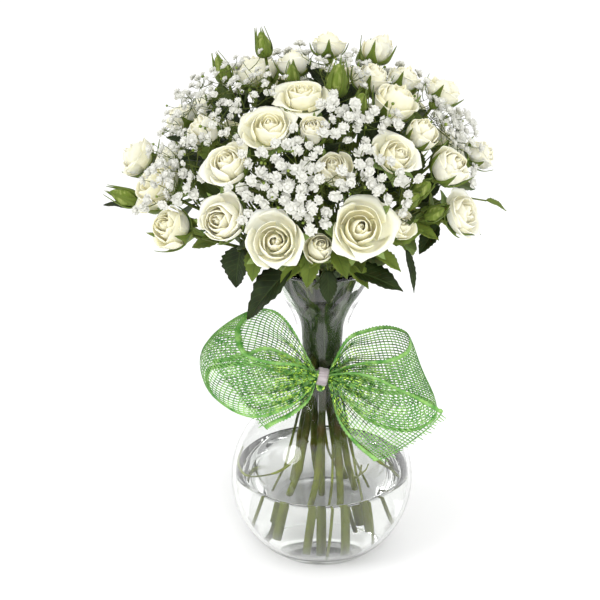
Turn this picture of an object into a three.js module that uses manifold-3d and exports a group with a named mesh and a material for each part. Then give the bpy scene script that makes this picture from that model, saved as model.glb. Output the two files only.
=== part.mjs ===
// A round bouquet of white spray roses and gypsophila in a clear glass vase with a ribbon bow.
// Millimetres, +Z up. The origin is the centre of the vase's base, and the front faces -Y.
// An azimuth is in degrees: 0 points to the front, 90 to the right (+X).

import * as THREE from 'three';
import { mergeVertices } from 'three/addons/utils/BufferGeometryUtils.js';
import Module from 'manifold-3d';

const wasm = await Module();
wasm.setup();
const { Manifold, Mesh: SolidMesh } = wasm;

// Clearances
const GAP = 0.3;
const STEM_ROOM = 0.45;
const HEAD_ROOM = 1.2;
const HEAD_SWELL = 1.04;
const HUB_ROOM = 2;
const MERGE = 1e-4;
const SLIVER = 0.06;
const TRIES = 60;
const SWAY = 0.45;

// Vase: a ball that closes to a narrow neck and opens again in a trumpet
const BULB_RADIUS = 65;
const BULB_CENTRE = 52;
const SHOULDER_HEIGHT = 109;
const NECK_RADIUS = 17.6;
const NECK_BOTTOM = 124;
const NECK_TOP = 160;
const TRUMPET = [[18.9, 175], [24.4, 189], [33.7, 205], [41.7, 224]];
const WALL = 2.8;
const FLOOR = 7;
const WATER_LEVEL = 60;
const WET_STEPS = 3;
const VASE_SIDES = 20;
const WALL_RINGS = 20;

// Bouquet: a dome of flower heads, and stems that are closest together in the neck
const DOME_CENTRE = new THREE.Vector3(-8, 0, 268);
const DOME_RADIUS = 112;
const DOME_RISE = 92;
const FOCUS = new THREE.Vector3(-8, 0, 212);
const FOOT_SPREAD = 2.25;
const TOP_SPREAD = 1.5;
const TOP_SPREAD_RUN = 60;
const TWIST = 0.22;
const LEAN_START = 205;
const LEAN_RUN = 100;
const STEM_STEPS = 9;
const STEM_BOW = 0.5;
const FOOT_TILT = 0.45;

// Rose stems
const ROSE_STEM_RADIUS = 2.4;
const ROSE_RING_RADIUS = 8.6;
const ROSE_RING_COUNT = 7;
const ROSE_RING_TURN = 12;
const ROSE_BRANCH_RADIUS = 1.25;
const PETIOLE_WIDTH = 2;
const PETIOLE_WAIST = [1, 0.82, 0.78, 0.95];
const BLADE_THICKNESS = 0.8;
const LEAF_ROWS = 5;
const LEAF_TIP = 1;
const LEAF_BAND = 0.13;
const LEAF_EDGE = 0.38;
const ROSE_FORK_LOW = 196;
const ROSE_FORK_HIGH = 230;
const CROWN_REACH = 12;
const LARGE_ROSE = 17.5;

// Gypsophila sprays
const GYP_STEM_RADIUS = 1;
const GYP_RING_RADIUS = 12;
const GYP_COUNT = 6;
const GYP_FORK_LOW = 202;
const GYP_FORK_HIGH = 226;
const TWIG_RADIUS = 0.7;
const STALK_RADIUS = 0.6;
const HUB_RADIUS = 1.5;
const FLORET_RADIUS = 5.2;
const FLORET_DEPTH = 3;
const FLORETS_PER_TWIG = 5;
const FLORET_RISE = 17;
const FLORET_FAN = 12;
const HUB_REACH = 0.96;

// Rose heads: azimuth, lift above the dome's equator, reach, diameter, and 0 for a bud to 1 for a full bloom
const ROSES = [
  [17, 13, 1, 40, 1], [-14, 9, 1, 37, 1], [-32, 17, 1, 34, 0.5], [-58, 1, 1, 32, 0.3],
  [-78, 12, 1, 40, 0.8], [-93, 15, 1.1, 30, 0.6], [-112, 30, 1, 26, 0.5], [-35, 34, 1, 31, 0.7],
  [-27, 51, 1, 35, 1], [-145, 54, 1, 33, 0.5], [-9, 71, 1, 33, 1], [-167, 67, 1, 25, 0.4],
  [169, 68, 1.1, 25, 0.5], [133, 60, 1.15, 25, 0.1], [97, 69, 1, 28, 0.3], [118, 51, 1.05, 26, 0.5],
  [107, 42, 1.12, 27, 0.5], [67, 55, 1, 32, 0.4], [39, 39, 1, 30, 1], [62, 41, 1, 24, 0.1],
  [64, 26, 1, 30, 0.1], [94, 17, 1.09, 25, 0.5], [65, 8, 1, 33, 0.9], [1, 54, 1, 22, 0],
  [11, 38, 0.93, 26, 0.5], [3, 3, 0.88, 23, 0.1], [35, 10, 0.92, 23, 0.2], [-66, 44, 0.97, 25, 0.3],
  [116, 12, 1, 34, 0.9], [138, 30, 1, 36, 0.8], [142, 2, 1, 30, 0.3], [164, 42, 1, 34, 0.9],
  [171, 14, 1, 38, 1], [-162, 32, 1, 32, 0.6], [-150, 6, 1, 36, 0.9], [-132, 26, 1, 34, 0.7],
  [-116, 4, 1, 30, 0.3],
];

// Closed green buds: azimuth, lift, reach, diameter
const BUDS = [
  [-144, 64, 1.17, 13], [-128, 48, 1.06, 12], [34, 75, 1, 14], [-75, 83, 0.98, 12],
  [47, 22, 0.95, 15], [-86, 2, 1.14, 17], [36, 62, 1, 12], [152, 50, 1.1, 13], [-176, 28, 1.1, 13],
];

// Leaves: azimuth, distance out and height of the foot, length, width, heading, and pitch above level
const LEAVES = [
  [-44, 83, 253, 33, 20, -40, -72], [-15, 83, 250, 48, 25, -75, -42], [13, 87, 250, 42, 20, 72, -14],
  [2, 75, 246, 25, 12, 10, -78], [38, 88, 258, 32, 9, 60, -70], [58, 94, 266, 25, 12, 40, -30],
  [80, 114, 272, 23, 11, 85, 8], [-87, 126, 262, 26, 12, -100, 10],
  [-60, 20, 202, 36, 18, -60, 66], [20, 20, 202, 36, 18, 20, 66], [80, 20, 202, 36, 18, 80, 66],
  [150, 20, 202, 36, 18, 150, 66], [-132, 20, 202, 36, 18, -132, 66],
  [155, 80, 248, 40, 20, 165, -50], [-146, 86, 248, 42, 21, -138, -45], [110, 82, 252, 32, 16, 125, -32],
  [-110, 94, 250, 35, 18, -128, -48],
];

// Directions of the gypsophila twigs: azimuth and lift
const TWIGS = [
  [-87, 50], [-75, 36], [-92, 62], [-46, 57], [-48, 42], [-56, 28], [-20, 38], [-8, 26], [1, 34],
  [12, 22], [14, 46], [22, 31], [26, 56], [78, 80], [95, 38], [80, 31], [-46, -3], [-15, 21],
  [128, 42], [150, 18], [180, 28], [-172, 50], [-146, 36], [-132, 12], [124, 20],
];

// Ribbon bow, as points on its two selvages, measured from the middle of the knot
const KNOT = new THREE.Vector3(0, -24.4, 143);
const KNOT_RADIUS = 5;
const RIBBON_THICKNESS = 0.8;
const TIE_THICKNESS = 1.2;
const TIE_WIDTH = 5;
const TIE_LOOP_WIDTH = 7;
const KNOT_SIDES = 10;
const LOOP_STEPS = 12;
const TAIL_STEPS = 5;
const LEFT_LOOP = {
  upper: [[-1, 1.5, 3.6], [-5, 2.2, 4], [-18, 7, 30], [-32, 22, 40], [-47, 20, 42], [-57, 5, 36],
    [-52, -14, 26], [-36, -18, 21], [-18, -11, 15], [-5, -1.4, 4], [-1, -1, 3.6]],
  lower: [[-1, 1.5, -3.6], [-5, 2.2, -4], [-20, 9, -6], [-44, 22, -4], [-64, 19, -2], [-79, 4, 1],
    [-74, -14, -10], [-50, -22, -21], [-24, -14, -17], [-5, -1.4, -4], [-1, -1, -3.6]],
};
const RIGHT_LOOP = {
  upper: [[1, 1.5, 3.6], [5, 2.2, 4], [17, 7, 26], [31, 18, 28], [46, 16, 31], [59, 4, 31],
    [58, -12, 26], [44, -18, 22], [26, -14, 18], [5, -1.4, 4], [1, -1, 3.6]],
  lower: [[1, 1.5, -3.6], [5, 2.2, -4], [20, 9, -12], [42, 20, -22], [62, 18, -24], [78, 4, -26],
    [76, -12, -29], [58, -20, -33], [30, -16, -26], [5, -1.4, -4], [1, -1, -3.6]],
};
const LEFT_TAIL = {
  upper: [[-1, -2.8, 2.6], [-4.6, -3.4, 3], [-20, -2, 16], [-39, -4, 25], [-52, -6, 22], [-77, -8, 17]],
  lower: [[-1, -2.8, -2.6], [-4.6, -3.4, -3], [-10, -9, -15], [-22, -14, -24], [-31, -16, -28], [-39, -18, -32]],
};
const RIGHT_TAIL = {
  upper: [[1, -2.8, 2.6], [4.6, -3.4, 3], [22, -18, 12.6], [38, -26, 12.5], [52, -29, 5.5], [83, -30, -11]],
  lower: [[1, -2.8, -2.6], [4.6, -3.4, -3], [7, -12, -18], [13, -19, -30], [23, -23, -41], [36, -27, -53]],
};

const MATERIALS = {
  glass: new THREE.MeshStandardMaterial({
    color: 0xeef4f2, roughness: 0.03, metalness: 0, transparent: true, opacity: 0.35,
  }),
  water: new THREE.MeshStandardMaterial({
    color: 0xe4efe6, roughness: 0.02, metalness: 0, transparent: true, opacity: 0.5,
  }),
  petal: new THREE.MeshStandardMaterial({ color: 0xf4f0d8, roughness: 0.6, metalness: 0 }),
  green: new THREE.MeshStandardMaterial({ color: 0x5b7a34, roughness: 0.6, metalness: 0 }),
  floret: new THREE.MeshStandardMaterial({ color: 0xfafaf6, roughness: 0.7, metalness: 0 }),
  ribbon: new THREE.MeshStandardMaterial({ color: 0x3fae49, roughness: 0.4, metalness: 0 }),
  tie: new THREE.MeshStandardMaterial({ color: 0xcfc8cb, roughness: 0.5, metalness: 0 }),
};

const model = new THREE.Group();

function addPiece(name, solid, material) {
  const mesh = new THREE.Mesh(toGeometry(solid), material);
  mesh.name = name;
  model.add(mesh);
}

// Repeatable draws between 0 and 1
function draws(seed) {
  let state = (seed * 7919 + 104729) % 2147483647;
  return () => {
    state = (state * 16807) % 2147483647;
    return state / 2147483647;
  };
}

function around(random) {
  return new THREE.Vector3(random() * 2 - 1, random() * 2 - 1, random() * 2 - 1);
}

function radians(degrees) {
  return THREE.MathUtils.degToRad(degrees);
}

// Solids

function toSolid(geometry) {
  geometry.deleteAttribute('normal');
  geometry.deleteAttribute('uv');
  const merged = mergeVertices(geometry, MERGE);
  const corners = merged.index.array;
  const kept = [];
  for (let i = 0; i < corners.length; i += 3) {
    const [a, b, c] = [corners[i], corners[i + 1], corners[i + 2]];
    if (a !== b && b !== c && c !== a) kept.push(a, b, c);
  }
  const vertProperties = Float32Array.from(merged.attributes.position.array);
  return new Manifold(new SolidMesh({ numProp: 3, vertProperties, triVerts: Uint32Array.from(kept) }));
}

function toGeometry(solid) {
  const { vertProperties, triVerts } = solid.getMesh();
  const geometry = new THREE.BufferGeometry();
  geometry.setAttribute('position', new THREE.BufferAttribute(vertProperties, 3));
  geometry.setIndex(new THREE.BufferAttribute(triVerts, 1));
  return geometry;
}

// Joins the pieces of one node, with slivers smoothed away, and drops any loose scrap
function fuse(solids) {
  const bodies = Manifold.union(solids).simplify(SLIVER).decompose();
  return bodies.reduce((best, body) => (body.volume() > best.volume() ? body : best));
}

// A closed turned solid about +Z from [radius, height] points, listed upwards on the outside
function turned(points, sides) {
  const geometry = new THREE.LatheGeometry(points.map(([r, z]) => new THREE.Vector2(r, z)), sides);
  return geometry.rotateX(Math.PI / 2);
}

function polygon(radius, sides) {
  const corners = [];
  for (let i = 0; i < sides; i++) {
    const angle = (2 * Math.PI * i) / sides;
    corners.push(new THREE.Vector2(radius * Math.cos(angle), radius * Math.sin(angle)));
  }
  return new THREE.Shape(corners);
}

function tube(curve, radius, sides, steps) {
  const shape = polygon(radius, sides);
  return toSolid(new THREE.ExtrudeGeometry(shape, { extrudePath: curve, steps, bevelEnabled: false }));
}

// One ring of a strip: along its face from a to b, then back along its underside
function stripRing(a, b, normal, parts) {
  const face = parts.map((part) => a.clone().lerp(b, part).add(normal));
  const underside = parts.map((part) => a.clone().lerp(b, part).sub(normal));
  return [...face, ...underside.reverse()];
}

// Joins the rings of a strip, with its two faces split into triangles alike
function loft(rings) {
  const count = rings[0].length;
  const faces = [];
  for (let i = 0; i < rings.length - 1; i++) {
    for (let k = 0; k < count; k++) {
      const [a, b] = [i * count + k, i * count + ((k + 1) % count)];
      const [c, d] = [a + count, b + count];
      if (k < count / 2) faces.push(a, c, b, b, c, d);
      else faces.push(a, c, d, a, d, b);
    }
  }
  const last = (rings.length - 1) * count;
  for (let k = 0; k < count / 2 - 1; k++) {
    const [a, b, c, d] = [k, k + 1, count - 2 - k, count - 1 - k];
    faces.push(a, b, c, a, c, d, last + a, last + c, last + b, last + a, last + d, last + c);
  }
  const geometry = new THREE.BufferGeometry().setFromPoints(rings.flat());
  geometry.setIndex(faces);
  return toSolid(geometry);
}

// Turns +Z to a direction and moves the origin to a place
function placed(geometry, place, direction, spin = 0) {
  const turn = new THREE.Quaternion().setFromUnitVectors(new THREE.Vector3(0, 0, 1), direction);
  geometry.rotateZ(spin);
  geometry.applyQuaternion(turn);
  return geometry.translate(place.x, place.y, place.z);
}

// Places

function polar(azimuth, distance) {
  const angle = radians(azimuth);
  return new THREE.Vector3(distance * Math.sin(angle), -distance * Math.cos(angle), 0);
}

function onDome(azimuth, lift, reach) {
  const place = polar(azimuth, DOME_RADIUS * Math.cos(radians(lift)));
  place.z = DOME_RISE * Math.sin(radians(lift));
  return place.multiplyScalar(reach).add(DOME_CENTRE);
}

function spread(height) {
  if (height < NECK_BOTTOM) return 1 + FOOT_SPREAD * ((NECK_BOTTOM - height) / NECK_BOTTOM) ** 0.95;
  if (height > NECK_TOP) return 1 + TOP_SPREAD * ((height - NECK_TOP) / TOP_SPREAD_RUN) ** 1.6;
  return 1;
}

// Where a stem that has a given place in the neck stands at another height
function stemPoint(seat, height) {
  const lean = THREE.MathUtils.smoothstep(height, LEAN_START, LEAN_START + LEAN_RUN);
  const point = polar(seat.azimuth + TWIST * (height - NECK_TOP), seat.out * spread(height));
  return point.addScaledVector(new THREE.Vector3(DOME_CENTRE.x, DOME_CENTRE.y, 0), lean).setZ(height);
}

function stemCurve(seat, top) {
  const foot = FLOOR + GAP + (seat.out > 0 ? seat.radius * FOOT_TILT : 0);
  const points = [];
  for (let i = 0; i <= STEM_STEPS; i++) {
    points.push(stemPoint(seat, foot + ((top - foot) * i) / STEM_STEPS));
  }
  return new THREE.CatmullRomCurve3(points);
}

// Room between pieces: every thin piece is a chain of capsules, and every head is a ball

function segmentGap(a, b, c, d) {
  const u = b.clone().sub(a);
  const v = d.clone().sub(c);
  const w = a.clone().sub(c);
  const uu = u.dot(u);
  const uv = u.dot(v);
  const vv = v.dot(v);
  const uw = u.dot(w);
  const vw = v.dot(w);
  const clamp = (x) => Math.min(1, Math.max(0, x));
  const across = uu * vv - uv * uv;
  let s = across > 1e-9 ? clamp((uv * vw - vv * uw) / across) : 0;
  const t = vv > 1e-9 ? clamp((uv * s + vw) / vv) : 0;
  s = uu > 1e-9 ? clamp((uv * t - uw) / uu) : 0;
  return w.addScaledVector(u, s).addScaledVector(v, -t).length();
}

const occupied = [];

function occupy(owner, points, radius) {
  for (let i = 0; i < Math.max(1, points.length - 1); i++) {
    const start = points[i];
    const end = points[Math.min(i + 1, points.length - 1)];
    const middle = start.clone().add(end).multiplyScalar(0.5);
    occupied.push({ owner, start, end, radius, middle, size: start.distanceTo(end) / 2 + radius });
  }
}

function roomAround(points, radius, ignored) {
  let room = Infinity;
  for (let i = 0; i < Math.max(1, points.length - 1); i++) {
    const start = points[i];
    const end = points[Math.min(i + 1, points.length - 1)];
    const middle = start.clone().add(end).multiplyScalar(0.5);
    const size = start.distanceTo(end) / 2 + radius;
    for (const other of occupied) {
      if (ignored.includes(other.owner)) continue;
      if (middle.distanceTo(other.middle) - size - other.size > Math.min(room, STEM_ROOM)) continue;
      room = Math.min(room, segmentGap(start, end, other.start, other.end) - radius - other.radius);
    }
  }
  return room;
}

// A branch from one place and direction to another, bent until it clears what is in place
function clearBranch(owner, from, heading, to, arrival, radius, ignored, seed, steps) {
  const random = draws(seed);
  const reach = from.distanceTo(to) / 3;
  let best = { room: -Infinity };
  for (let trial = 0; trial < TRIES && best.room < STEM_ROOM; trial++) {
    const sway = trial * SWAY;
    const first = from.clone().addScaledVector(heading, reach).addScaledVector(around(random), sway);
    const second = to.clone().addScaledVector(arrival, -reach).addScaledVector(around(random), sway);
    const curve = new THREE.CubicBezierCurve3(from, first, second, to);
    const points = curve.getSpacedPoints(steps);
    const room = roomAround(points, radius, [owner, ...ignored]);
    if (room > best.room) best = { room, curve, points };
  }
  occupy(owner, best.points, radius);
  return best;
}

// Vase and water

function bulbRadius(height, inset) {
  return Math.sqrt((BULB_RADIUS - inset) ** 2 - (height - BULB_CENTRE) ** 2);
}

function bulbArc(inset, low, high, steps) {
  const radius = BULB_RADIUS - inset;
  const start = Math.asin((low - BULB_CENTRE) / radius);
  const end = Math.asin((high - BULB_CENTRE) / radius);
  const arc = new THREE.EllipseCurve(0, BULB_CENTRE, radius, radius, start, end);
  return arc.getPoints(steps).map((p) => [p.x, p.y]);
}

function upperWall(inset) {
  const shoulder = new THREE.Vector2(bulbRadius(SHOULDER_HEIGHT, inset), SHOULDER_HEIGHT);
  const neck = NECK_RADIUS - inset;
  const bend = new THREE.Vector2(neck + 1, SHOULDER_HEIGHT + 6);
  const fillet = new THREE.QuadraticBezierCurve(shoulder, bend, new THREE.Vector2(neck, NECK_BOTTOM));
  const trumpet = new THREE.SplineCurve(
    [[NECK_RADIUS, NECK_TOP], ...TRUMPET].map(([r, z]) => new THREE.Vector2(r - inset, z)),
  );
  return [...fillet.getPoints(2).slice(1), ...trumpet.getPoints(5)].map((p) => [p.x, p.y]);
}

function vaseProfile() {
  const outside = [[0, 0], ...bulbArc(0, 0, SHOULDER_HEIGHT, 6), ...upperWall(0)];
  const wetWall = bulbArc(WALL, FLOOR, WATER_LEVEL, WET_STEPS);
  const dryWall = bulbArc(WALL, WATER_LEVEL, SHOULDER_HEIGHT, 2).slice(1);
  const inside = [[0, FLOOR], ...wetWall, ...dryWall, ...upperWall(WALL)];
  return [...outside, ...inside.reverse()];
}

function addVase() {
  addPiece('vase', toSolid(turned(vaseProfile(), VASE_SIDES)), MATERIALS.glass);
  const wall = new THREE.SplineCurve(upperWall(WALL / 2).slice(2).map(([r, z]) => new THREE.Vector2(r, z)));
  for (const ring of wall.getSpacedPoints(WALL_RINGS)) {
    const circle = [];
    for (let i = 0; i <= VASE_SIDES; i++) circle.push(polar((360 * i) / VASE_SIDES, ring.x).setZ(ring.y));
    occupy('vase', circle, WALL / 2 + GAP);
  }
}

function addWater(holes) {
  const inset = WALL + GAP;
  const profile = [[0, FLOOR + GAP], ...bulbArc(inset, FLOOR + GAP, WATER_LEVEL, WET_STEPS), [0, WATER_LEVEL]];
  const full = toSolid(turned(profile, VASE_SIDES));
  addPiece('water', full.subtract(Manifold.union(holes)), MATERIALS.water);
}

// The hole that a stem leaves in the water, a little wider than the stem and open at both ends
function waterHole(seat, radius) {
  const axis = new THREE.LineCurve3(stemPoint(seat, FLOOR - 4), stemPoint(seat, WATER_LEVEL + 4));
  return tube(axis, (radius + GAP + STEM_BOW) / Math.cos(Math.PI / 5), 5, 1);
}

// Flower heads

function makeHeads() {
  const heads = ROSES.map(([azimuth, lift, reach, diameter, openness], i) => (
    { name: `rose_${i + 1}`, centre: onDome(azimuth, lift, reach), radius: diameter / 2, openness }));
  const buds = BUDS.map(([azimuth, lift, reach, diameter]) => (
    { name: null, centre: onDome(azimuth, lift, reach), radius: diameter / 2, openness: 0 }));
  const all = [...heads, ...buds];
  pushApart(all);
  for (const head of all) head.axis = head.centre.clone().sub(FOCUS).normalize();
  return all;
}

// Moves heads that crowd each other apart until their balls are clear
function pushApart(heads) {
  for (let round = 0; round < TRIES; round++) {
    for (let i = 0; i < heads.length; i++) {
      for (let j = i + 1; j < heads.length; j++) {
        const between = heads[j].centre.clone().sub(heads[i].centre);
        const short = (heads[i].radius + heads[j].radius) * HEAD_SWELL + HEAD_ROOM - between.length();
        if (short <= 0) continue;
        between.normalize();
        heads[i].centre.addScaledVector(between, -short / 2);
        heads[j].centre.addScaledVector(between, short / 2);
      }
    }
  }
}

function footOf(head) {
  const depth = THREE.MathUtils.lerp(0.92, 0.64, head.openness) * head.radius;
  return head.centre.clone().addScaledVector(head.axis, -depth);
}

// Three layers of petals round a closed heart. Each rim is notched between its petals, and each
// petal's far edge tucks inside the next.
function addRose(head, index) {
  const mix = (bud, bloom) => THREE.MathUtils.lerp(bud, bloom, head.openness);
  const rows = [
    { out: 0, up: 0 },
    { out: mix(0.68, 0.55), up: mix(0.3, 0.13) },
    { out: mix(0.92, 1), up: mix(1.1, 0.74), notch: 0.16, shift: 0 },
    { out: mix(0.6, 0.74), up: mix(0.92, 0.52) },
    { out: mix(0.62, 0.68), up: mix(1.42, 0.94), notch: 0.14, shift: 1 },
    { out: mix(0.34, 0.42), up: mix(1.2, 0.62) },
    { out: mix(0.33, 0.36), up: mix(1.66, 1), notch: 0.12, shift: 2 },
    { out: 0, up: mix(1.5, 0.76) },
  ];
  const petals = head.radius > LARGE_ROSE ? 4 : 3;
  const columns = petals * 3;
  const size = head.radius;
  const geometry = new THREE.LatheGeometry(rows.map((r) => new THREE.Vector2(r.out * size, r.up * size)), columns);
  const position = geometry.attributes.position;
  for (let i = 0; i < position.count; i++) {
    const row = rows[i % rows.length];
    const column = Math.floor(i / rows.length) % columns;
    if (!row.notch) continue;
    const part = (column + row.shift) % 3;
    const swell = [0.93, 1.03, 0.97][part];
    const drop = part === 0 ? row.notch * size : 0;
    position.setXYZ(i, position.getX(i) * swell, position.getY(i) - drop, position.getZ(i) * swell);
  }
  geometry.rotateX(Math.PI / 2);
  placed(geometry, footOf(head), head.axis, index * 2.4);
  addPiece(head.name, toSolid(geometry), MATERIALS.petal);
}

// The green cup under a rose with its five pointed sepals
function calyx(head, index) {
  const size = head.radius;
  const rows = [[0, -0.34], [0.6, -0.06], [0, 0]];
  const geometry = new THREE.LatheGeometry(rows.map(([r, z]) => new THREE.Vector2(r * size, z * size)), 10);
  const position = geometry.attributes.position;
  for (let i = 0; i < position.count; i++) {
    const between = Math.floor(i / rows.length) % 2 === 1;
    if (i % rows.length !== 1 || !between) continue;
    position.setXYZ(i, position.getX(i) * 0.36, position.getY(i), position.getZ(i) * 0.36);
  }
  geometry.rotateX(Math.PI / 2);
  geometry.translate(0, 0, -GAP - 0.1);
  return toSolid(placed(geometry, footOf(head), head.axis, index));
}

// A closed bud: a green drop with the sepals' tips twisted to a point
function greenBud(head) {
  const size = head.radius;
  const rows = [[0, -0.25], [0.85, 0.45], [0.7, 1.3], [0, 2.5]];
  const geometry = turned(rows.map(([r, z]) => [r * size, z * size]), 5);
  return toSolid(placed(geometry, footOf(head), head.axis));
}

// Leaves

// A flat stalk that runs on into a toothed blade, widest a third of the way along
function leafSolid(leaf, stalk) {
  const side = new THREE.Vector3(0, 0, 1).cross(leaf.heading).normalize();
  const rings = PETIOLE_WAIST.map((waist, i) => leafRing(stalk, i / 3, side, (PETIOLE_WIDTH * waist) / 2));
  const blade = leafCurve(leaf, leaf.foot);
  for (let i = 1; i < LEAF_ROWS; i++) {
    const along = i / LEAF_ROWS;
    const tooth = i % 2 ? 0.84 : 1.06;
    const half = (leaf.width / 2) * Math.sin(Math.PI * along ** 0.75) ** 0.8 * tooth;
    rings.push(leafRing(blade, along, side, half));
  }
  rings.push(leafRing(blade, 1, side, LEAF_TIP / 2));
  return loft(rings);
}

function leafRing(curve, along, side, half) {
  const tangent = curve.getTangentAt(along);
  const across = side.clone().addScaledVector(tangent, -side.dot(tangent)).setLength(half);
  const up = tangent.clone().cross(across).setLength(BLADE_THICKNESS / 2);
  const middle = curve.getPointAt(along);
  return stripRing(middle.clone().sub(across), middle.clone().add(across), up, [0, 1]);
}

function leafCurve(leaf, foot) {
  const middle = foot.clone().addScaledVector(leaf.heading, leaf.length / 2);
  const tip = foot.clone().addScaledVector(leaf.heading, leaf.length * 0.92);
  tip.z -= leaf.length * 0.14;
  return new THREE.QuadraticBezierCurve3(foot, middle, tip);
}

// The midrib and both edges, as lines that stand for the blade when room is measured. Each keeps
// a band of LEAF_BAND of the leaf's width clear on both sides.
function leafLines(leaf) {
  const side = new THREE.Vector3(0, 0, 1).cross(leaf.heading).normalize();
  const midrib = leafCurve(leaf, leaf.foot).getPoints(3);
  const edge = (share) => midrib.slice(1, 3).map((point) => point.clone().addScaledVector(side, leaf.width * share));
  return [midrib, edge(LEAF_EDGE), edge(-LEAF_EDGE)];
}

function makeLeaves() {
  return LEAVES.map(([azimuth, out, height, length, width, turn, pitch], i) => {
    const foot = polar(azimuth, out).setZ(height);
    const heading = polar(turn, Math.cos(radians(pitch))).setZ(Math.sin(radians(pitch)));
    return { foot, length, width, heading, seed: 500 + i };
  });
}

// Tries small moves of a leaf until it is clear, and returns its best place
function settleLeaf(leaf, owner) {
  const random = draws(leaf.seed);
  let best = { room: -Infinity };
  for (let trial = 0; trial < TRIES && best.room < STEM_ROOM; trial++) {
    const foot = leaf.foot.clone().addScaledVector(around(random), trial * 0.25);
    const heading = leaf.heading.clone().addScaledVector(around(random), trial * 0.012).normalize();
    const moved = { ...leaf, foot, heading };
    const thick = leaf.width * LEAF_BAND;
    const room = Math.min(...leafLines(moved).map((line) => roomAround(line, thick, [owner])));
    if (room > best.room) best = { room, moved };
  }
  for (const line of leafLines(best.moved)) occupy(owner, line, leaf.width * LEAF_BAND);
  return best.moved;
}

// Rose sprays

function roseSeats() {
  const seats = [{ azimuth: 0, out: 0 }];
  for (let i = 0; i < ROSE_RING_COUNT; i++) {
    seats.push({ azimuth: ROSE_RING_TURN + (360 * i) / ROSE_RING_COUNT, out: ROSE_RING_RADIUS });
  }
  return seats.map((seat, i) => ({ ...seat, name: `rose_stem_${i + 1}`, radius: ROSE_STEM_RADIUS }));
}

function gypSeats() {
  const seats = [];
  for (let i = 0; i < GYP_COUNT; i++) {
    const azimuth = ROSE_RING_TURN + (360 * (i + 0.5)) / ROSE_RING_COUNT;
    seats.push({ azimuth, out: GYP_RING_RADIUS, name: `gypsophila_${i + 1}`, radius: GYP_STEM_RADIUS });
  }
  return seats;
}

// The seat whose stem stands nearest below a place in the crown
function nearestSeat(place, seats) {
  const flat = place.clone().setZ(0);
  const distance = (seat) => {
    const stem = polar(seat.azimuth + TWIST * (ROSE_FORK_LOW - NECK_TOP), seat.out * CROWN_REACH);
    return stem.add(DOME_CENTRE).setZ(0).distanceTo(flat);
  };
  return seats.reduce((best, seat) => (distance(seat) < distance(best) ? seat : best));
}

// Forks are spread along the upper part of the stem, the last at its top
function forkHeight(index, count, low, high) {
  return count < 2 ? high : low + ((high - low) * index) / (count - 1);
}

function stemHeading(seat, height) {
  return stemPoint(seat, height + 1).sub(stemPoint(seat, height)).normalize();
}

function addRoseStem(seat, heads, leaves) {
  const sprout = [...heads].sort((a, b) => a.centre.z - b.centre.z);
  const solids = [tube(seat.curve, seat.radius, 5, STEM_STEPS)];
  sprout.forEach((head, i) => {
    const height = forkHeight(i, sprout.length, ROSE_FORK_LOW, ROSE_FORK_HIGH);
    const from = stemPoint(seat, height - 1);
    const to = footOf(head).addScaledVector(head.axis, -0.2 * head.radius);
    const route = clearBranch(seat.name, from, stemHeading(seat, height), to, head.axis,
      ROSE_BRANCH_RADIUS, [head.name], 100 + head.index, 3);
    solids.push(tube(route.curve, ROSE_BRANCH_RADIUS, 3, 3));
    solids.push(head.name ? calyx(head, head.index) : greenBud(head));
  });
  for (const leaf of leaves) {
    const from = stemPoint(seat, ROSE_FORK_LOW - 4);
    const moved = settleLeaf(leaf, seat.name);
    const stalk = clearBranch(seat.name, from, stemHeading(seat, ROSE_FORK_LOW), moved.foot, moved.heading,
      PETIOLE_WIDTH / 2, [], leaf.seed, 3);
    solids.push(leafSolid(moved, stalk.curve));
  }
  addPiece(seat.name, fuse(solids), MATERIALS.green);
}

// Gypsophila

function addGypsophila(seat, twigs) {
  const solids = [tube(seat.curve, seat.radius, 3, STEM_STEPS)];
  twigs.forEach((twig, i) => {
    const height = forkHeight(i, twigs.length, GYP_FORK_LOW, GYP_FORK_HIGH);
    const from = stemPoint(seat, height - 1);
    const hub = settleHub(twig, seat.name);
    const outward = hub.clone().sub(FOCUS).normalize();
    const route = clearBranch(seat.name, from, stemHeading(seat, height), hub, outward,
      TWIG_RADIUS, [], 900 + twig.index, 3);
    if (route.room < GAP) return; // no clear way to this place
    solids.push(tube(route.curve, TWIG_RADIUS, 3, 3));
    solids.push(cluster(twig, hub, seat.name));
  });
  addPiece(seat.name, fuse(solids), MATERIALS.floret);
}

function settleHub(twig, owner) {
  const random = draws(700 + twig.index);
  let best = { room: -Infinity };
  for (let trial = 0; trial < TRIES && best.room < HUB_ROOM; trial++) {
    const azimuth = twig.azimuth + (random() * 2 - 1) * trial * 0.25;
    const lift = twig.lift + (random() * 2 - 1) * trial * 0.2;
    const place = onDome(azimuth, lift, HUB_REACH);
    const room = roomAround([place], TWIG_RADIUS, [owner]);
    if (room > best.room) best = { room, place };
  }
  return best.place;
}

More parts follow.
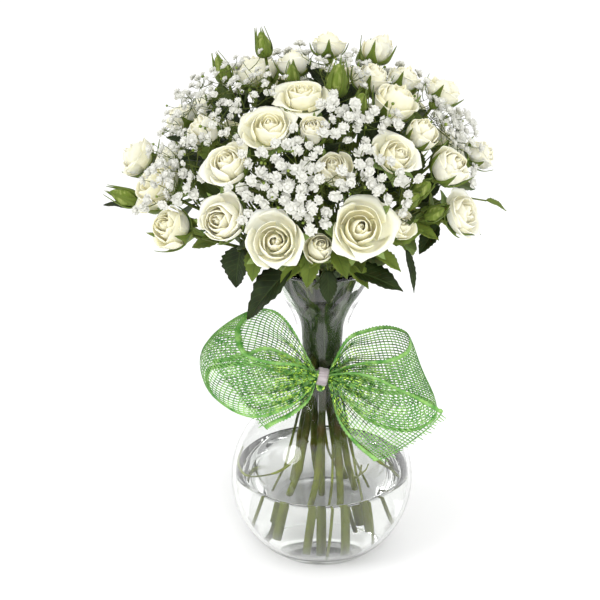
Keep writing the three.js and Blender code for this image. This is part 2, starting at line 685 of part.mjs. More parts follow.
// The florets at the end of one twig, as one closed surface: five faces of a small hub draw out
// into stalks, and each stalk opens into a three-petalled floret
function cluster(twig, hub, owner) {
  const random = draws(300 + twig.index);
  const outward = hub.clone().sub(FOCUS).normalize();
  const turn = new THREE.Quaternion().setFromUnitVectors(new THREE.Vector3(0, 0, 1), outward);
  const corner = (x, y, z) => new THREE.Vector3(x, y, z).multiplyScalar(HUB_RADIUS).applyQuaternion(turn).add(hub);
  const vertices = [corner(0, 0, 1), corner(0, 0, -1)];
  for (let i = 0; i < FLORETS_PER_TWIG; i++) {
    const angle = (2 * Math.PI * i) / FLORETS_PER_TWIG;
    vertices.push(corner(Math.cos(angle), Math.sin(angle), 0));
  }
  const faces = [];
  for (let i = 0; i < FLORETS_PER_TWIG; i++) {
    const [a, b] = [2 + i, 2 + ((i + 1) % FLORETS_PER_TWIG)];
    faces.push(1, b, a);
    const facing = vertices[a].clone().add(vertices[b]).multiplyScalar(0.5).sub(hub).normalize();
    const place = clearFloret(hub, outward, facing, owner, random);
    if (place) drawOut(vertices, faces, [0, a, b], place);
    else faces.push(0, a, b);
  }
  const geometry = new THREE.BufferGeometry().setFromPoints(vertices);
  geometry.setIndex(faces);
  return toSolid(geometry);
}

// A place for a floret on one side of its hub that clears every other piece, or nothing
function clearFloret(hub, outward, facing, owner, random) {
  for (let trial = 0; trial < TRIES / 2; trial++) {
    const rise = FLORET_RISE * (0.75 + 0.6 * random());
    const fan = FLORET_FAN * (0.6 + 0.7 * random());
    const place = hub.clone().addScaledVector(outward, rise).addScaledVector(facing, fan);
    place.addScaledVector(around(random), trial * 0.2);
    const outer = hub.clone().lerp(place, 0.5);
    const room = Math.min(roomAround([place], FLORET_RADIUS, []), roomAround([hub, place], STALK_RADIUS, [owner]),
      roomAround([outer, place], STALK_RADIUS, []));
    if (room < GAP) continue;
    occupy(owner, [place], FLORET_RADIUS);
    occupy(owner, [hub, place], STALK_RADIUS);
    return place;
  }
  return null;
}

// Replaces a triangle by a stalk that leads to a floret
function drawOut(vertices, faces, triangle, place) {
  const root = triangle.map((i) => vertices[i]);
  const middle = root.reduce((sum, p) => sum.add(p), new THREE.Vector3()).divideScalar(3);
  const along = place.clone().sub(middle).normalize();
  const first = vertices.length;
  for (const point of root) {
    const offset = point.clone().sub(middle);
    offset.addScaledVector(along, -offset.dot(along)).setLength(STALK_RADIUS);
    vertices.push(place.clone().addScaledVector(along, -FLORET_DEPTH).add(offset));
  }
  for (let i = 0; i < 3; i++) {
    const petal = vertices[first + i].clone().sub(place).addScaledVector(along, FLORET_DEPTH).setLength(FLORET_RADIUS);
    const next = vertices[first + ((i + 1) % 3)].clone().sub(place).addScaledVector(along, FLORET_DEPTH);
    const notch = petal.clone().add(next.setLength(FLORET_RADIUS)).setLength(FLORET_RADIUS * 0.62);
    vertices.push(place.clone().add(petal), place.clone().add(notch));
  }
  vertices.push(place.clone().addScaledVector(along, FLORET_DEPTH * 0.6));
  for (let i = 0; i < 3; i++) {
    const j = (i + 1) % 3;
    const [a, b] = [triangle[i], triangle[j]];
    const [c, d] = [first + i, first + j];
    const [petal, notch, nextPetal] = [first + 3 + 2 * i, first + 4 + 2 * i, first + 3 + 2 * j];
    const top = first + 9;
    faces.push(a, b, c, b, d, c, c, notch, petal, c, d, notch, d, nextPetal, notch);
    faces.push(petal, notch, top, notch, nextPetal, top);
  }
}

// Ribbon bow and its tie

function selvage(points) {
  return new THREE.CatmullRomCurve3(points.map(([x, y, z]) => new THREE.Vector3(x, y, z).add(KNOT)));
}

// A strip between two selvages
function ribbonStrip({ upper, lower }, steps) {
  const [top, bottom] = [selvage(upper), selvage(lower)];
  const rings = [];
  for (let i = 0; i <= steps; i++) {
    const along = i / steps;
    const [a, b] = [top.getPoint(along), bottom.getPoint(along)];
    const forward = top.getTangent(along).add(bottom.getTangent(along));
    const normal = forward.cross(b.clone().sub(a)).setLength(RIBBON_THICKNESS / 2);
    rings.push(stripRing(a, b, normal, [0, 0.5, 1]));
  }
  return loft(rings);
}

function addBow() {
  const half = TIE_LOOP_WIDTH / 2;
  const knot = turned([[0, -half], [KNOT_RADIUS, -half], [KNOT_RADIUS, half], [0, half]], KNOT_SIDES);
  const strips = [toSolid(knot.rotateY(Math.PI / 2).translate(KNOT.x, KNOT.y, KNOT.z))];
  for (const loop of [LEFT_LOOP, RIGHT_LOOP]) strips.push(ribbonStrip(loop, LOOP_STEPS));
  for (const tail of [LEFT_TAIL, RIGHT_TAIL]) strips.push(ribbonStrip(tail, TAIL_STEPS));
  addPiece('bow_ribbon', fuse(strips), MATERIALS.ribbon);
}

function band(inner, width, sides) {
  const outer = inner + TIE_THICKNESS;
  const half = width / 2;
  const profile = [[inner, -half], [outer, -half], [outer, half], [inner, half], [inner, -half]];
  return turned(profile, sides);
}

function addTie() {
  const neckBand = band(NECK_RADIUS + GAP, TIE_WIDTH, VASE_SIDES).translate(0, 0, KNOT.z);
  const knotBand = band(KNOT_RADIUS + GAP, TIE_LOOP_WIDTH, KNOT_SIDES);
  knotBand.rotateY(Math.PI / 2).translate(KNOT.x, KNOT.y, KNOT.z);
  addPiece('bow_tie', fuse([toSolid(neckBand), toSolid(knotBand)]), MATERIALS.tie);
}

// Assembly

function growBouquet() {
  const heads = makeHeads();
  const leaves = makeLeaves();
  const roses = roseSeats();
  const sprays = gypSeats();
  for (const seat of [...roses, ...sprays]) {
    const rose = roses.includes(seat);
    const top = rose ? ROSE_FORK_HIGH : GYP_FORK_HIGH;
    seat.curve = stemCurve(seat, top);
    occupy(seat.name, seat.curve.getSpacedPoints(STEM_STEPS), seat.radius);
  }
  heads.forEach((head, index) => {
    head.index = index;
    head.seat = nearestSeat(head.centre, roses);
    const owner = head.name ?? head.seat.name;
    occupy(owner, [head.centre], head.radius * HEAD_SWELL + 2 * GAP);
    if (head.name) addRose(head, index);
  });
  for (const leaf of leaves) leaf.seat = nearestSeat(leaf.foot, roses.slice(1));
  for (const seat of roses) {
    addRoseStem(seat, heads.filter((h) => h.seat === seat), leaves.filter((l) => l.seat === seat));
  }
  const twigs = TWIGS.map(([azimuth, lift], index) => ({ azimuth, lift, index }));
  for (const twig of twigs) twig.seat = nearestSeat(onDome(twig.azimuth, Math.min(twig.lift, 40), 1), sprays);
  for (const seat of sprays) addGypsophila(seat, twigs.filter((t) => t.seat === seat));
  return [...roses, ...sprays];
}

addVase();
const stems = growBouquet();
addWater(stems.map((seat) => waterHole(seat, seat.radius)));
addBow();
addTie();

export default model;
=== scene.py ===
"""A round bouquet of white spray roses and gypsophila in a clear glass vase with a net bow.

Metres, +Z up. The origin is the centre of the vase's base, and the front faces -Y. An azimuth is in
degrees: 0 points to the front and 90 to the right (+X).
"""
import logging
import math
import random
from collections.abc import Callable, Sequence
from dataclasses import dataclass, field
from enum import Enum

import bmesh
import bpy
from mathutils import Matrix, Quaternion, Vector


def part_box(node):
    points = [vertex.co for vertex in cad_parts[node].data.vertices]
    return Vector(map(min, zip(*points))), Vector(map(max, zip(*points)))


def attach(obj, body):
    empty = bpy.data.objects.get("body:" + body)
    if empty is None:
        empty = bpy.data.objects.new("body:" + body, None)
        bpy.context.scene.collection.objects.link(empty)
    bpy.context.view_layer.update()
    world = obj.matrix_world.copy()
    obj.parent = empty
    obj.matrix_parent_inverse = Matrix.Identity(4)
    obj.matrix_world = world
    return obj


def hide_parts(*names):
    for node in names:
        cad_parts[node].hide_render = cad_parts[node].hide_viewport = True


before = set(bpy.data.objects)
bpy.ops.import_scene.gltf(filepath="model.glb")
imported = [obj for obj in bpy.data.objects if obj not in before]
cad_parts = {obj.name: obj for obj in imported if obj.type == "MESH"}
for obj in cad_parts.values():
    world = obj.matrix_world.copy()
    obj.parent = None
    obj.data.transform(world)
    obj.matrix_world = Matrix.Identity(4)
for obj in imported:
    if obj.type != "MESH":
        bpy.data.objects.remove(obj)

log = logging.getLogger("centerpiece")
MM = 0.001
UP = Vector((0.0, 0.0, 1.0))

# Function from across (-1 to 1) and along (0 to 1) to a place
Surface = Callable[[float, float], Vector]


# Geometry helpers

def lerp(a: float, b: float, share: float) -> float:
    """Value that lies a share of the way from a to b."""
    return a + (b - a) * share


def smoothstep(value: float, low: float, high: float) -> float:
    """Smooth rise from 0 at low to 1 at high."""
    share = min(1.0, max(0.0, (value - low) / (high - low)))
    return share * share * (3 - 2 * share)


def polar(azimuth: float, distance: float, height: float = 0.0) -> Vector:
    """Place at an azimuth in degrees and a distance from the vase's axis."""
    angle = math.radians(azimuth)
    return Vector((distance * math.sin(angle), -distance * math.cos(angle), height))


def bezier(a: Vector, b: Vector, c: Vector, d: Vector, share: float) -> Vector:
    """Point on a cubic Bezier curve."""
    rest = 1 - share
    return a * rest**3 + b * (3 * rest**2 * share) + c * (3 * rest * share**2) + d * share**3


def catmull_rom(points: Sequence[Vector], share: float) -> Vector:
    """Point on a smooth curve through the given points.

    Args:
        points: Two points or more.
        share: How far along the curve, from 0 to 1.

    Returns:
        The point.
    """
    last = len(points) - 1
    place = min(max(share, 0.0), 1.0) * last
    i = min(int(place), last - 1)
    t = place - i
    p1, p2 = points[i], points[i + 1]
    p0 = points[i - 1] if i > 0 else p1 * 2 - p2
    p3 = points[i + 2] if i + 2 <= last else p2 * 2 - p1
    return 0.5 * (p1 * 2 + (p2 - p0) * t + (p0 * 2 - p1 * 5 + p2 * 4 - p3) * t**2
                  + (p1 * 3 - p0 - p2 * 3 + p3) * t**3)


def frame_matrix(place: Vector, ahead: Vector, up: Vector) -> Matrix:
    """Matrix whose Y axis runs ahead and whose Z axis is as near to up as can be.

    Args:
        place: Where the origin goes.
        ahead: Direction of the Y axis.
        up: Direction that the Z axis leans to.

    Returns:
        The 4x4 matrix.
    """
    y = ahead.normalized()
    x = y.cross(up)
    if x.length < 1e-6:
        x = y.orthogonal()
    x.normalize()
    z = x.cross(y)
    matrix = Matrix((x, y, z)).transposed().to_4x4()
    matrix.translation = place
    return matrix


def turn_to(direction: Vector, spin: float = 0.0) -> Matrix:
    """Rotation that takes +Z to a direction after a spin round it."""
    turn = UP.rotation_difference(direction) @ Quaternion(UP, spin)
    return turn.to_matrix().to_4x4()


class Piece:
    """A mesh under construction, with the operators that the flowers repeat."""

    def __init__(self, name: str) -> None:
        """Starts an empty mesh with the three layers that the finishes read.

        Args:
            name: Name of the object that it becomes.
        """
        self.name = name
        self.bm = bmesh.new()
        self.layers = {key: self.bm.verts.layers.float.new(key) for key in ("across", "along", "tone")}

    def mark(self, verts: Sequence[bmesh.types.BMVert], tone: float) -> None:
        """Gives vertices their tone."""
        for vert in verts:
            vert[self.layers["tone"]] = tone

    def sheet(self, columns: int, rows: int, shape: Surface, tone: float = 0.0) -> list[bmesh.types.BMFace]:
        """Bends a grid into a thin shape.

        Args:
            columns: Faces across.
            rows: Faces along.
            shape: Place of a point from its across (-1 to 1) and along (0 to 1) values.
            tone: Value of the tone layer.

        Returns:
            The new faces.
        """
        verts = bmesh.ops.create_grid(self.bm, x_segments=columns, y_segments=rows, size=1.0)["verts"]
        half = max(abs(v.co.x) for v in verts)
        for vert in verts:
            across, along = vert.co.x / half, (vert.co.y / half + 1) / 2
            vert[self.layers["across"]] = across
            vert[self.layers["along"]] = along
            vert[self.layers["tone"]] = tone
            vert.co = shape(across, along)
        return list({f for v in verts for f in v.link_faces})

    def tube(self, points: Sequence[Vector], radii: Sequence[float], sides: int, tone: float = 0.0) -> None:
        """Sweeps a round section along points.

        Args:
            points: Middle of the tube, from end to end.
            radii: Radius at each point.
            sides: Faces round it.
            tone: Value of the tone layer.
        """
        heading = (points[1] - points[0]).normalized()
        turn = UP.rotation_difference(heading)
        place = Matrix.Translation(points[0]) @ turn.to_matrix().to_4x4()
        ring = bmesh.ops.create_circle(self.bm, segments=sides, radius=radii[0], matrix=place)["verts"]
        self.mark(ring, tone)
        edges = list({e for v in ring for e in v.link_edges})
        bmesh.ops.edgeloop_fill(self.bm, edges=edges)
        for k in range(1, len(points)):
            after = points[min(k + 1, len(points) - 1)]
            ahead = (after - points[k - 1]).normalized()
            turn = heading.rotation_difference(ahead) @ turn
            heading = ahead
            result = bmesh.ops.extrude_edge_only(self.bm, edges=edges)["geom"]
            verts = {g for g in result if isinstance(g, bmesh.types.BMVert)}
            edges = [e for e in {e for v in verts for e in v.link_edges} if set(e.verts) <= verts]
            grown = Matrix.Scale(radii[k] / radii[k - 1], 4)
            target = Matrix.Translation(points[k]) @ turn.to_matrix().to_4x4()
            bmesh.ops.transform(self.bm, matrix=target @ grown @ place.inverted(), verts=list(verts))
            place = target
        bmesh.ops.edgeloop_fill(self.bm, edges=edges)

    def ball(self, place: Vector, radius: float, detail: int, tone: float = 0.0) -> list[bmesh.types.BMVert]:
        """Adds a small ball.

        Args:
            place: Its centre.
            radius: Its radius.
            detail: How often its faces are divided, from 1.
            tone: Value of the tone layer.

        Returns:
            Its vertices.
        """
        verts = bmesh.ops.create_icosphere(
            self.bm, subdivisions=detail, radius=radius, matrix=Matrix.Translation(place))["verts"]
        self.mark(verts, tone)
        return verts

    def closed(self) -> None:
        """Merges doubles and turns every face outwards."""
        bmesh.ops.remove_doubles(self.bm, verts=self.bm.verts, dist=1e-6)
        bmesh.ops.recalc_face_normals(self.bm, faces=self.bm.faces)

    def done(self, finishes: Sequence[bpy.types.Material], replaces: Sequence[str] = (),
             thickness: float = 0.0) -> bpy.types.Object:
        """Turns the mesh into an object that rides on the model.

        Args:
            finishes: Materials, the second one for the underside of thin sheets.
            replaces: CAD nodes that the piece stands for.
            thickness: Thickness given to sheets, or 0 for none.

        Returns:
            The finished object.
        """
        mesh = bpy.data.meshes.new(self.name)
        self.bm.to_mesh(mesh)
        self.bm.free()
        for finish in finishes:
            mesh.materials.append(finish)
        mesh.shade_smooth()
        obj = bpy.data.objects.new(self.name, mesh)
        bpy.context.scene.collection.objects.link(obj)
        if thickness:
            wall = obj.modifiers.new("thickness", "SOLIDIFY")
            wall.thickness = thickness
            wall.offset = 0.0
            wall.material_offset = len(finishes) - 1
        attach(obj, "root")
        if replaces:
            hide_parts(*replaces)
        log.info("%s: %d faces", self.name, len(mesh.polygons))
        return obj


# Finishes

class Shader:
    """A material's node tree under construction, round one Principled shader."""

    def __init__(self, name: str, **sockets: float | tuple[float, ...]) -> None:
        """Starts a material.

        Args:
            name: The material's name.
            **sockets: Values of the shader's sockets, with _ for a space.
        """
        self.material = bpy.data.materials.new(name)
        self.material.use_nodes = True
        self.tree = self.material.node_tree
        self.surface = self.tree.nodes["Principled BSDF"]
        for key, value in sockets.items():
            self.surface.inputs[key.replace("_", " ")].default_value = value

    def add(self, kind: str, inputs: dict | None = None, **settings: object) -> bpy.types.Node:
        """Adds a node.

        Args:
            kind: Node type, without its ShaderNode prefix.
            inputs: Values or linked sockets by input name or number.
            **settings: Properties of the node.

        Returns:
            The new node.
        """
        node = self.tree.nodes.new("ShaderNode" + kind)
        for key, value in settings.items():
            setattr(node, key, value)
        for key, value in (inputs or {}).items():
            if isinstance(value, bpy.types.NodeSocket):
                self.tree.links.new(value, node.inputs[key])
            else:
                node.inputs[key].default_value = value
        return node

    def layer(self, name: str) -> bpy.types.NodeSocket:
        """Value of one of the mesh's layers."""
        return self.add("Attribute", attribute_name=name).outputs["Fac"]

    def math(self, operation: str, *values: float | bpy.types.NodeSocket) -> bpy.types.NodeSocket:
        """Result of one sum, where each value is a number or a socket."""
        return self.add("Math", dict(enumerate(values)), operation=operation).outputs[0]

    def noise(self, scale: float, detail: float = 3.0,
              stretch: tuple[float, float, float] = (1.0, 1.0, 1.0)) -> bpy.types.NodeSocket:
        """Noise on object coordinates.

        Args:
            scale: How fine it is.
            detail: Octaves on top of the first.
            stretch: Factor on each axis.

        Returns:
            The noise, from 0 to 1.
        """
        place = self.add("TexCoord").outputs["Object"]
        mapped = self.add("Mapping", {"Vector": place, "Scale": stretch}).outputs[0]
        return self.add("TexNoise", {"Vector": mapped, "Scale": scale, "Detail": detail}).outputs["Fac"]

    def spread(self, value: bpy.types.NodeSocket, low: float, high: float,
               to_low: float = 0.0, to_high: float = 1.0) -> bpy.types.NodeSocket:
        """Maps a value's range to another one, without going past its ends."""
        return self.add("MapRange", {0: value, 1: low, 2: high, 3: to_low, 4: to_high}).outputs[0]

    def mix(self, share: bpy.types.NodeSocket, a: tuple | bpy.types.NodeSocket,
            b: tuple | bpy.types.NodeSocket) -> bpy.types.NodeSocket:
        """Colour between two others.

        Args:
            share: How much of the second colour there is.
            a: First colour.
            b: Second colour.

        Returns:
            The mixed colour.
        """
        node = self.add("Mix", data_type="RGBA")
        for key, value in ((0, share), (6, a), (7, b)):
            if isinstance(value, bpy.types.NodeSocket):
                self.tree.links.new(value, node.inputs[key])
            else:
                node.inputs[key].default_value = value
        return node.outputs[2]

    def colour(self, socket: bpy.types.NodeSocket) -> None:
        """Sets the base colour."""
        self.tree.links.new(socket, self.surface.inputs["Base Color"])

    def rough(self, socket: bpy.types.NodeSocket) -> None:
        """Sets the roughness."""
        self.tree.links.new(socket, self.surface.inputs["Roughness"])

    def bump(self, height: bpy.types.NodeSocket, distance: float, strength: float = 1.0) -> None:
        """Adds relief of the given depth in metres."""
        node = self.add("Bump", {"Height": height, "Distance": distance, "Strength": strength})
        self.tree.links.new(node.outputs[0], self.surface.inputs["Normal"])


def rgba(red: float, green: float, blue: float) -> tuple[float, float, float, float]:
    """Opaque colour."""
    return (red, green, blue, 1.0)


@dataclass(frozen=True)
class PetalFinish:
    """Cream petals that are warmer in the heart and greenish at the foot of the guard petals."""

    rim: tuple = rgba(0.975, 0.96, 0.785)
    cast: tuple = rgba(0.935, 0.895, 0.57)
    heart: tuple = rgba(0.99, 0.88, 0.39)
    foot: tuple = rgba(0.66, 0.78, 0.25)
    warmth: float = 1.35
    patch_scale: float = 15.0
    patch_share: float = 0.55
    foot_share: float = 0.72
    vein_scale: float = 9.0
    relief: float = 0.12 * MM

    def make(self) -> bpy.types.Material:
        """Builds the material.

        Returns:
            The finished material.
        """
        shader = Shader("rose_petal", Roughness=0.5, Subsurface_Weight=0.5, Subsurface_Scale=0.0025,
                        Subsurface_Radius=(1.0, 0.9, 0.6), Specular_IOR_Level=0.35, Sheen_Weight=0.1)
        inner = shader.math("POWER", shader.layer("tone"), self.warmth)
        rise = shader.layer("along")
        deep = shader.math("MULTIPLY", inner, shader.spread(rise, 0.35, 1.0, 1.0, 0.4))
        patches = shader.spread(shader.noise(self.patch_scale, 0.0), 0.36, 0.60)
        patch = shader.math("MULTIPLY", patches, self.patch_share)
        cream = shader.mix(deep, shader.mix(patch, self.rim, self.cast), self.heart)
        low = shader.math("MULTIPLY", shader.spread(rise, 0.0, 0.40, self.foot_share, 0.0),
                          shader.math("SUBTRACT", 1.0, inner))
        shader.colour(shader.mix(low, cream, self.foot))
        veins = shader.add("TexWave", {"Vector": self.fan(shader), "Scale": self.vein_scale,
                                       "Distortion": 2.0, "Detail": 2.0}).outputs["Fac"]
        shader.bump(shader.math("ADD", veins, shader.noise(260.0)), self.relief, 0.5)
        return shader.material

    @staticmethod
    def fan(shader: Shader) -> bpy.types.NodeSocket:
        """Coordinates that follow each petal, so that its veins run from foot to rim."""
        rise = shader.math("MULTIPLY", shader.layer("along"), 0.15)
        return shader.add("CombineXYZ", {0: shader.layer("across"), 1: rise}).outputs[0]


@dataclass(frozen=True)
class FloretFinish:
    """Matte white of the small double florets, greener and darker at each petal's foot: partly its greenish
    base, partly painted shade.
    """

    white: tuple = rgba(0.70, 0.70, 0.635)
    # Greenish grey at the petals' feet: their base colour with painted shade
    shade: tuple = rgba(0.62, 0.66, 0.42)
    shade_share: float = 0.6
    relief: float = 0.1 * MM

    def make(self) -> bpy.types.Material:
        """Builds the material.

        Returns:
            The finished material.
        """
        shader = Shader("gypsophila_floret", Roughness=0.7, Subsurface_Weight=0.2, Subsurface_Scale=0.002,
                        Subsurface_Radius=(1.0, 1.0, 0.9), Specular_IOR_Level=0.3)
        # Painted shade, with some green, towards the foot of each petal
        foot = shader.spread(shader.layer("along"), 0.0, 0.35, self.shade_share, 0.0)
        shader.colour(shader.mix(foot, self.white, self.shade))
        shader.bump(shader.noise(900.0), self.relief, 0.4)
        return shader.material


@dataclass(frozen=True)
class LeafFinish:
    """Dark veined leaves, lighter where they are young."""

    name: str
    old: tuple
    young: tuple
    vein: tuple
    roughness: float = 0.48
    side_veins: float = 8.0
    vein_slant: float = 2.2
    relief: float = 0.3 * MM

    def make(self) -> bpy.types.Material:
        """Builds the material.

        Returns:
            The finished material.
        """
        shader = Shader(self.name, Roughness=self.roughness, Specular_IOR_Level=0.16, Subsurface_Weight=0.06,
                        Subsurface_Scale=0.002)
        out = shader.math("ABSOLUTE", shader.layer("across"))
        slant = shader.math("SUBTRACT", shader.math("MULTIPLY", shader.layer("along"), self.side_veins),
                            shader.math("MULTIPLY", out, self.vein_slant))
        side_vein = shader.spread(shader.math("PINGPONG", slant, 0.5), 0.0, 0.09, 1.0, 0.0)
        midrib = shader.spread(out, 0.0, 0.07, 1.0, 0.0)
        veins = shader.math("MAXIMUM", midrib, shader.math("MULTIPLY", side_vein, 0.6))
        blade = shader.mix(shader.layer("tone"), self.old, self.young)
        mottled = shader.mix(shader.spread(shader.noise(70.0), 0.35, 0.7, 0.0, 0.35), blade, self.vein)
        shader.colour(shader.mix(shader.math("MULTIPLY", veins, 0.55), mottled, self.vein))
        relief = shader.math("SUBTRACT", shader.math("MULTIPLY", shader.noise(700.0), 0.3), veins)
        shader.bump(relief, self.relief, 0.7)
        return shader.material


@dataclass(frozen=True)
class StemFinish:
    """Green bark, lighter and olive yellow below the water line: partly its own colour there, partly painted
    light.
    """

    # Bark below the water line: olive yellow, lightened with painted light
    wet: tuple = rgba(0.21, 0.255, 0.022)
    dry: tuple = rgba(0.028, 0.042, 0.008)
    scar: tuple = rgba(0.085, 0.055, 0.02)
    fresh: tuple = rgba(0.14, 0.20, 0.030)
    pale: tuple = rgba(0.46, 0.50, 0.17)
    water_line: tuple = (0.055, 0.095)
    streak_scale: float = 420.0
    grain_scale: float = 500.0
    relief: float = 0.3 * MM

    def make(self) -> bpy.types.Material:
        """Builds the material.

        Returns:
            The finished material.
        """
        shader = Shader("rose_stem", Roughness=0.5, Specular_IOR_Level=0.1)
        height = shader.add("SeparateXYZ", {0: shader.add("TexCoord").outputs["Object"]}).outputs["Z"]
        # Lighter olive below the water line, its own colour with painted light; darker green above
        bark = shader.mix(shader.spread(height, *self.water_line), self.wet, self.dry)
        streaks = shader.spread(shader.noise(self.streak_scale, 4.0, (1.0, 1.0, 0.12)), 0.42, 0.75)
        streaked = shader.mix(shader.math("MULTIPLY", streaks, 0.5), bark, self.scar)
        knotted = shader.mix(shader.math("MULTIPLY", shader.layer("across"), 0.75), streaked, self.scar)
        grain = shader.noise(self.grain_scale, 3.0, (1.0, 1.0, 0.1))
        fine = shader.math("MULTIPLY", shader.spread(grain, 0.45, 0.7), 0.6)
        shader.colour(shader.mix(shader.layer("tone"), knotted, shader.mix(fine, self.fresh, self.pale)))
        shader.bump(shader.noise(self.grain_scale, 4.0, (1.0, 1.0, 0.2)), self.relief, 0.6)
        return shader.material


@dataclass(frozen=True)
class GlassFinish:
    """Clear polished glass with a faint green cast, slightly uneven as blown glass is."""

    tint: tuple = rgba(0.978, 0.985, 0.976)
    index: float = 1.47
    unevenness: float = 0.6 * MM

    def make(self) -> bpy.types.Material:
        """Builds the material.

        Returns:
            The finished material.
        """
        shader = Shader("vase_glass", Base_Color=self.tint, Roughness=0.0, IOR=self.index,
                        Transmission_Weight=1.0, Specular_IOR_Level=0.12)
        shader.bump(shader.noise(18.0, 1.0), self.unevenness, 0.12)
        return shader.material


@dataclass(frozen=True)
class WaterFinish:
    """Still water with a trace of green."""

    tint: tuple = rgba(0.99, 0.997, 0.988)
    index: float = 1.33
    unevenness: float = 0.3 * MM

    def make(self) -> bpy.types.Material:
        """Builds the material.

        Returns:
            The finished material.
        """
        shader = Shader("water", Base_Color=self.tint, Roughness=0.0, IOR=self.index,
                        Transmission_Weight=1.0)
        shader.bump(shader.noise(25.0, 1.0), self.unevenness, 0.1)
        return shader.material


@dataclass(frozen=True)
class NetFinish:
    """Green net threads with gold-green metallic glints, and dark patches of painted shade where the ribbon
    gathers near the knot.
    """

    thread: tuple = rgba(0.08, 0.27, 0.045)
    pale: tuple = rgba(0.31, 0.56, 0.17)
    # Painted shade in the gathered ribbon near the knot
    dark: tuple = rgba(0.015, 0.10, 0.010)
    glint: tuple = rgba(0.62, 0.90, 0.16)
    dull: float = 0.4
    bright: float = 0.18

    def make(self) -> bpy.types.Material:
        """Builds the material.

        Returns:
            The finished material.
        """
        shader = Shader("net_ribbon", Specular_IOR_Level=0.3)
        near = shader.spread(shader.layer("tone"), 0.0, 0.8)
        hue = shader.mix(shader.spread(shader.noise(120.0), 0.35, 0.7), self.thread, self.pale)
        # Painted shade: dark patches that fade out away from the knot
        painted_knot_shade = shader.math("MULTIPLY", shader.spread(shader.noise(260.0, 1.0), 0.47, 0.56), near)
        spark = shader.spread(shader.noise(420.0, 1.0), 0.53, 0.58)
        glints = shader.math("MULTIPLY", spark, near)
        shader.colour(shader.mix(glints, shader.mix(painted_knot_shade, hue, self.dark), self.glint))
        shader.tree.links.new(glints, shader.surface.inputs["Metallic"])
        shader.rough(shader.spread(glints, 0.0, 1.0, self.dull, self.bright))
        shader.bump(shader.noise(1500.0), 0.0001, 0.5)
        return shader.material


@dataclass(frozen=True)
class TieFinish:
    """Pale grey-pink satin band."""

    light: tuple = rgba(0.44, 0.39, 0.40)
    dark: tuple = rgba(0.29, 0.24, 0.26)

    def make(self) -> bpy.types.Material:
        """Builds the material.

        Returns:
            The finished material.
        """
        shader = Shader("tie_band", Roughness=0.4, Sheen_Weight=0.3)
        weave = shader.noise(900.0, 2.0, (0.15, 1.0, 1.0))
        shader.colour(shader.mix(shader.spread(weave, 0.35, 0.7), self.light, self.dark))
        shader.bump(weave, 0.0002, 0.6)
        return shader.material


@dataclass(frozen=True)
class FloorFinish:
    """Plain white studio floor."""

    white: tuple = rgba(0.95, 0.95, 0.95)

    def make(self) -> bpy.types.Material:
        """Builds the material."""
        return Shader("floor", Base_Color=self.white, Roughness=0.9, Specular_IOR_Level=0.1).material


LEAF_FACE = LeafFinish("rose_leaf", old=rgba(0.008, 0.015, 0.003), young=rgba(0.165, 0.23, 0.035),
                       vein=rgba(0.05, 0.08, 0.02))
LEAF_UNDERSIDE = LeafFinish("leaf_underside", old=rgba(0.045, 0.062, 0.030), young=rgba(0.26, 0.37, 0.10),
                            vein=rgba(0.17, 0.21, 0.11), roughness=0.65)


@dataclass
class Finishes:
    """All materials of the object, made once."""

    petal: bpy.types.Material = field(default_factory=PetalFinish().make)
    floret: bpy.types.Material = field(default_factory=FloretFinish().make)
    leaf: bpy.types.Material = field(default_factory=LEAF_FACE.make)
    underside: bpy.types.Material = field(default_factory=LEAF_UNDERSIDE.make)
    stem: bpy.types.Material = field(default_factory=StemFinish().make)
    glass: bpy.types.Material = field(default_factory=GlassFinish().make)
    water: bpy.types.Material = field(default_factory=WaterFinish().make)
    net: bpy.types.Material = field(default_factory=NetFinish().make)
    tie: bpy.types.Material = field(default_factory=TieFinish().make)


# Vase and water

